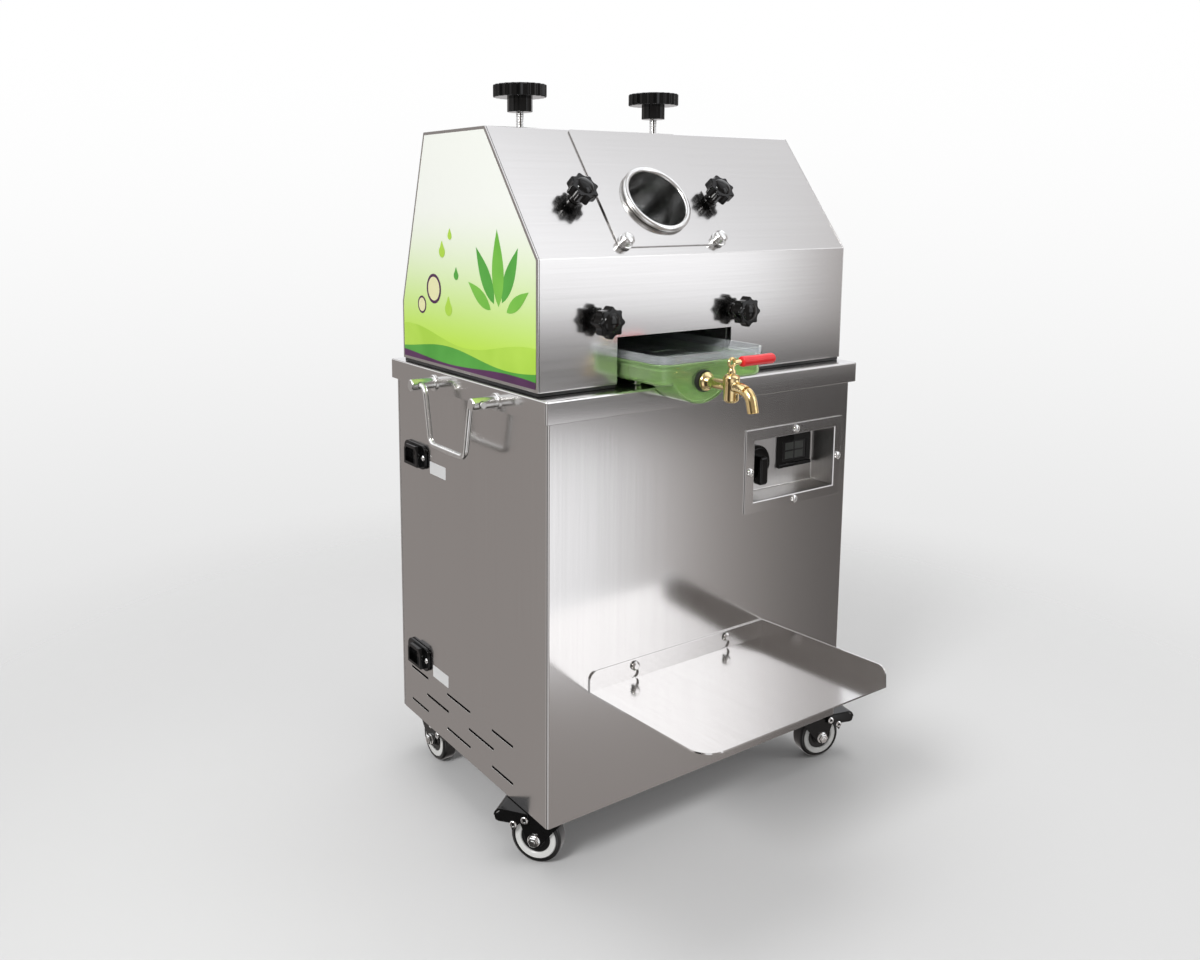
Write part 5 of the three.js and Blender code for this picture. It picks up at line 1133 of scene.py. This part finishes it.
def makeTub():
    low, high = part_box("juice_tub")
    front, rear = low.y + tub["rim"], high.y - tub["rim"]
    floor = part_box("top_plate")[1].z + gap
    outer = makePanBody("green_juice_tub", 0, floor, high.z, front, rear)
    joinPieces(outer, makeSumpBody(0, low.z, front))
    inner = makePanBody("inner", tub["wall"], floor + tub["wall"], high.z + mm, front, rear)
    joinPieces(inner, makeSumpBody(tub["wall"], low.z, front))
    rim = platePiece("rim", 2 * (tub["halfWidth"] + tub["rim"]), high.y - low.y, tub["rimThickness"],
                     tub["corner"] + tub["rim"], 8)
    roundEdges(rim, tub["rimRound"], 3, 60)
    place(rim, (feedCentre, (low.y + high.y) / 2, high.z - tub["rimThickness"]))
    joinPieces(outer, rim)
    x, z = tap["centre"], plateTop + tap["height"]
    hole = tubePiece("hole", [(x, front - 5 * mm, z), (x, front + 5 * mm, z)], tub["tapHole"], 6)
    cutPiece(outer, inner, hole)
    smoothShade(outer, 35)
    standFor(outer, "juice_tub", tubGreen)
    print("tub made")


# Print on the left side: a white to lime ground with leaves, drops and waves of its own

art = lengths(margin=3, thickness=0.1, layer=0.03, leaf=52, leafWidth=15)
waves = (("back", 32, 7, printLime), ("middle", 18, 5, printGreen), ("front", 8, 2.5, printPlum))
# y and z, the turn in degrees, and the share of the full length
leaves = ((-72, 466, 118, 1.1, printGreen), (-66, 462, 88, 1.35, printLeaf),
          (-58, 464, 58, 1.15, printGreen), (-52, 458, 30, 0.9, printLeaf), (-80, 458, 150, 0.8, printLeaf))
# y, z and the radius; plum and cream are rings, the others drops
dots = ((58, 470, 15, printPlum), (58, 470, 12, printCream), (84, 452, 9, printPlum),
        (84, 452, 7, printCream), (28, 452, 7, printLime), (40, 508, 6, printLime),
        (12, 486, 4.5, printGreen), (24, 524, 4, printLime))


def leafOutline(length, width, steps=12):
    half = [(length * step / steps, width / 2 * sin(pi * (step / steps) ** 0.8)) for step in range(steps + 1)]
    return half + [(x, -y) for x, y in reversed(half[1:-1])]


def discOutline(radius, steps=28):
    angles = [2 * pi * step / steps for step in range(steps)]
    return [(radius * cos(angle), radius * sin(angle)) for angle in angles]


def dropOutline(radius, steps=28):
    points = []
    for step in range(steps):
        angle = 2 * pi * step / steps
        rise = max(0, sin(angle))
        narrowed, drawn = 1 - 0.35 * rise ** 2, 1 + 0.75 * rise ** 6
        points.append((radius * cos(angle) * narrowed, radius * sin(angle) * drawn))
    return points


def waveOutline(front, rear, floor, height, swell, steps=24):
    crest = [(front + (rear - front) * step / steps,
              height + swell * sin(2.2 * pi * step / steps + height * 300)) for step in range(steps + 1)]
    return [(front, floor), *crest, (rear, floor)]


def layDecal(name, outline, layer, material, centre=(0, 0), turn=0.0):
    # an outline drawn in (y, z) of the side panel
    piece = prismPiece(name, outline, art["thickness"])
    place(piece, turn=(0, 0, turn))
    place(piece, (*centre, 0))
    place(piece, turn=(pi / 2, 0, pi / 2))
    place(piece, (-cabinetSide - art["thickness"] - (layer + 1) * art["layer"], 0, 0))
    return attach(piece, "frame", material)


def makePrint():
    base, top, edge = hoodLow.z, hoodHigh.z, art["margin"]
    left, right, floor = hoodLow.y + edge, hoodHigh.y - edge, base + edge
    topFront, topRear = hoodLow.y + hood["slopeRun"], hoodHigh.y - hood["rearRun"]
    rearKnee = plateTop + hood["rearWall"]
    ground = [(left, floor), (right, floor), (right, rearKnee - 0.12 * edge),
              (topRear - 0.8 * edge, top - edge), (topFront + 0.55 * edge, top - edge),
              (left, frontKnee - 0.45 * edge)]
    layDecal("side_print_ground", ground, 0, printGround)
    for number, (label, height, swell, ink) in enumerate(waves):
        outline = waveOutline(left, right, floor, base + height * mm, swell * mm)
        layDecal(f"side_print_wave_{label}", outline, 1 + number, ink)
    for number, (y, z, degrees, size, ink) in enumerate(leaves):
        outline = leafOutline(art["leaf"] * size, art["leafWidth"] * size)
        layDecal(f"side_print_leaf_{number + 1}", outline, 4 + number, ink, (y * mm, z * mm),
                 radians(degrees))
    for number, (y, z, radius, ink) in enumerate(dots):
        outline = discOutline(radius * mm) if ink in (printPlum, printCream) else dropOutline(radius * mm)
        layDecal(f"side_print_dot_{number + 1}", outline, 9 + number % 2, ink, (y * mm, z * mm))
    print("print made")


# Small screws that hold the back panel: four down each side, and one in the middle above and below

backScrew = {**lengths(inset=8, headroom=22), "size": 0.9}


def makeBackScrews():
    low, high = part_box("cabinet_back_panel")
    inset = backScrew["inset"]
    for column in (-1, 0, 1):
        for row in range(4):
            if column == 0 and row in (1, 2):
                continue
            x = column * (cabinetSide - inset)
            z = low.z + inset + (high.z - low.z - 2 * inset - backScrew["headroom"]) * row / 3
            name = f"back_screw_{column + 2}_{row + 1}"
            placeScrew(name, (x, high.y - 0.1 * mm, z), facingBack, backScrew["size"])
    print("back screws made")


# Cabinet shell and jug shelf: the shell's two outer front folds are rounder than its cut edges

def makeCabinetShell():
    shell = copyOfNode("cabinet_shell", "folded_cabinet_shell")
    roundFolds(shell, 1.3 * mm, lambda middle: middle.y < cabinetFront + gap
               and abs(middle.x) > cabinetSide - gap)
    roundEdges(shell, 0.25 * mm)
    smoothShade(shell)
    standFor(shell, "cabinet_shell", uprightSteel)
    print("cabinet shell made")


def makeShelf():
    shelf = copyOfNode("jug_shelf", "folded_jug_shelf")
    roundEdges(shelf, 0.4 * mm)
    smoothShade(shelf)
    standFor(shelf, "jug_shelf", shelfSteel)
    print("shelf made")


screwHead = makeScrewHead()
makeStarKnobs()
makeHandwheels()
makeFeedTube()
makeHandles()
makeTopPlate()
makeControlRecess()
makeMeter()
makeSwitch()
makeInlets()
makeCasters()
makeTap()
makeTub()
makePrint()
makeBackScrews()
removePieces(screwHead)
makeCabinetShell()
makeShelf()

# All other nodes keep their shape and get rounded edges and their finish

uprightNodes = ("cabinet_back_panel", "hood_side_left", "hood_side_right")
stoodFor = {name for piece in bpy.data.objects for name in piece.get("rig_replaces", [])}
for node in bodyOf:
    if node not in stoodFor:
        dressNode(node, uprightSteel if node in uprightNodes else finishOf[slotOf[node]])
print("nodes dressed")


# Studio: floor, soft lamps and a sky whose reflections are set by direction

wheelLow = min(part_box(node)[0].z for node in bodyOf if node.endswith("wheel") and node.startswith("caster"))


def makeFloor():
    # metal reflects the sky's patches all round, so the floor stays out of reflections
    deselectAll()
    bpy.ops.mesh.primitive_plane_add(size=6, location=(0, 0, wheelLow))
    floor = newestPiece("studio_floor")
    material, tree, shader = newMaterial("paleFloor", Roughness=0.9)
    shader.inputs["Base Color"].default_value = colour(0.66)
    coordinates = tree.nodes.new("ShaderNodeTexCoord")
    distance = tree.nodes.new("ShaderNodeVectorMath")
    distance.operation = "LENGTH"
    tree.links.new(coordinates.outputs["Object"], distance.inputs[0])
    tree.links.new(addRange(tree, distance.outputs["Value"], 1.0, 0.0, 0.45, 1.1), shader.inputs["Alpha"])
    floor.data.materials.append(material)
    floor.visible_glossy = False


def makeLamp(name, location, target, size, power, mirrored=False):
    lamp = bpy.data.lights.new(name, "AREA")
    lamp.shape = "DISK"
    lamp.size = size
    lamp.energy = power
    holder = bpy.data.objects.new(name, lamp)
    bpy.context.scene.collection.objects.link(holder)
    holder.location = location
    holder.rotation_euler = (Vector(target) - Vector(location)).to_track_quat("-Z", "Y").to_euler()
    holder.visible_camera = False
    holder.visible_glossy = mirrored


# Soft boxes that only reflections see: azimuth from the front to the right, elevation and the softness
# of the two, all in degrees, then the brightness
softBoxes = (
    ((18, 48), (-6.6, 14), (3, 1), 1.3),
    ((26, 39.5), (-25, -12.6), (5, 1), 1.1),
    ((10, 70), (-12.5, -7.2), (6, 1), -0.3),
    ((47, 62), (-45, -9), (3, 2), -0.25),
    ((70, 172), (-60, 8), (8, 8), 0.35),
    ((-138, -104), (-60, 15), (5, 8), 0.3),
    ((-98, -62), (-60, 12), (4, 6), -0.32),
    ((-200, 200), (-100, -60), (5, 6), -0.34),
    ((24, 45.5), (14, 36), (3, 4), 2.3),
    ((51, 66), (14, 36), (3, 4), 1.2),
    ((0, 125), (34, 85), (12, 8), 0.65),
    ((40, 70), (40, 70), (7, 7), 0.5),
    ((95, 175), (8, 60), (12, 8), 0.9),
    ((-170, -72), (15, 80), (10, 8), 1.1),
    ((-50, -18), (-40, -6), (6, 4), 0.7),
)
sky = {"base": 0.38, "least": 0.06, "diffuse": 0.9, "diffuseStrength": 0.55,
       "backdrop": (0.69, 1.0, -0.62, 0.14), "dimTint": (1.0, 0.925, 0.89), "brightTint": (0.99, 1.0, 1.03),
       "tintSpan": (0.3, 1.2)}
photoCamera = {"lens": 31.1, "shift": (0.05, -0.105), "place": (-0.68731, -0.86650, 0.55840),
               "down": 8.46, "right": 33.88}


def addWindow(tree, value, edges, soft):
    # one between the two edges, falling softly to zero outside them
    rise = addRange(tree, value, 0.0, 1.0, radians(edges[0] - soft), radians(edges[0] + soft))
    fall = addRange(tree, value, 1.0, 0.0, radians(edges[1] - soft), radians(edges[1] + soft))
    return addMath(tree, "MULTIPLY", rise, fall)


def addSoftBoxes(tree, direction):
    axes = splitAxes(tree, direction)
    frontward = addMath(tree, "MULTIPLY", axes["Y"], -1.0)
    azimuth = addMath(tree, "ARCTAN2", axes["X"], frontward)
    elevation = addMath(tree, "ARCSINE", axes["Z"], 0.0)
    total = sky["base"]
    for azimuths, elevations, soft, brightness in softBoxes:
        wide = addWindow(tree, azimuth, azimuths, soft[0])
        high = addWindow(tree, elevation, elevations, soft[1])
        lit = addMath(tree, "MULTIPLY", addMath(tree, "MULTIPLY", wide, high), brightness)
        total = addMath(tree, "ADD", lit, total)
    return addMath(tree, "MAXIMUM", total, sky["least"])


def mixShaders(tree, share, first, second):
    mix = tree.nodes.new("ShaderNodeMixShader")
    for number, output in enumerate((share, first, second)):
        tree.links.new(output, mix.inputs[number])
    return mix.outputs[0]


def makeWorld():
    # diffuse rays see an even grey, mirror rays the soft boxes, and the camera a backdrop
    world = bpy.data.worlds.new("studioSky")
    bpy.context.scene.world = world
    world.use_nodes = True
    tree = world.node_tree
    coordinates = tree.nodes.new("ShaderNodeTexCoord")
    direction = coordinates.outputs["Generated"]
    diffuse = tree.nodes["Background"]
    diffuse.inputs["Color"].default_value = colour(sky["diffuse"])
    diffuse.inputs["Strength"].default_value = sky["diffuseStrength"]
    backdrop = tree.nodes.new("ShaderNodeBackground")
    backdrop.inputs["Color"].default_value = colour(1)
    tone = addRange(tree, splitAxes(tree, direction)["Z"], *sky["backdrop"])
    tree.links.new(tone, backdrop.inputs["Strength"])
    mirrored = tree.nodes.new("ShaderNodeBackground")
    level = addSoftBoxes(tree, direction)
    tree.links.new(level, mirrored.inputs["Strength"])
    tint = addMix(tree, addRange(tree, level, 0.0, 1.0, *sky["tintSpan"]), sky["dimTint"], sky["brightTint"])
    tree.links.new(tint, mirrored.inputs["Color"])
    rays = tree.nodes.new("ShaderNodeLightPath").outputs
    seen = addMath(tree, "MAXIMUM", rays["Is Camera Ray"], rays["Is Transmission Ray"])
    lit = mixShaders(tree, rays["Is Glossy Ray"], diffuse.outputs[0], mirrored.outputs[0])
    whole = mixShaders(tree, seen, lit, backdrop.outputs[0])
    tree.links.new(whole, tree.nodes["World Output"].inputs["Surface"])


def makeCamera():
    camera = bpy.data.cameras.new("photoCamera")
    camera.lens = photoCamera["lens"]
    camera.shift_x, camera.shift_y = photoCamera["shift"]
    holder = bpy.data.objects.new("photoCamera", camera)
    bpy.context.scene.collection.objects.link(holder)
    holder.location = photoCamera["place"]
    holder.rotation_euler = (radians(90 - photoCamera["down"]), 0, radians(-photoCamera["right"]))
    bpy.context.scene.camera = holder


makeFloor()
makeLamp("keySoftbox", (-2.3, -1.0, 2.0), (0, 0, 0.3), 0.9, 52, mirrored=True)
makeLamp("fillSoftbox", (1.9, -1.3, 1.2), (0, 0, 0.3), 1.6, 14)
makeLamp("topSoftbox", (0.2, 0.3, 2.4), (0, 0, 0.4), 1.8, 20)
makeWorld()
makeCamera()
bpy.context.scene.view_settings.view_transform = "Standard"
print("studio ready")
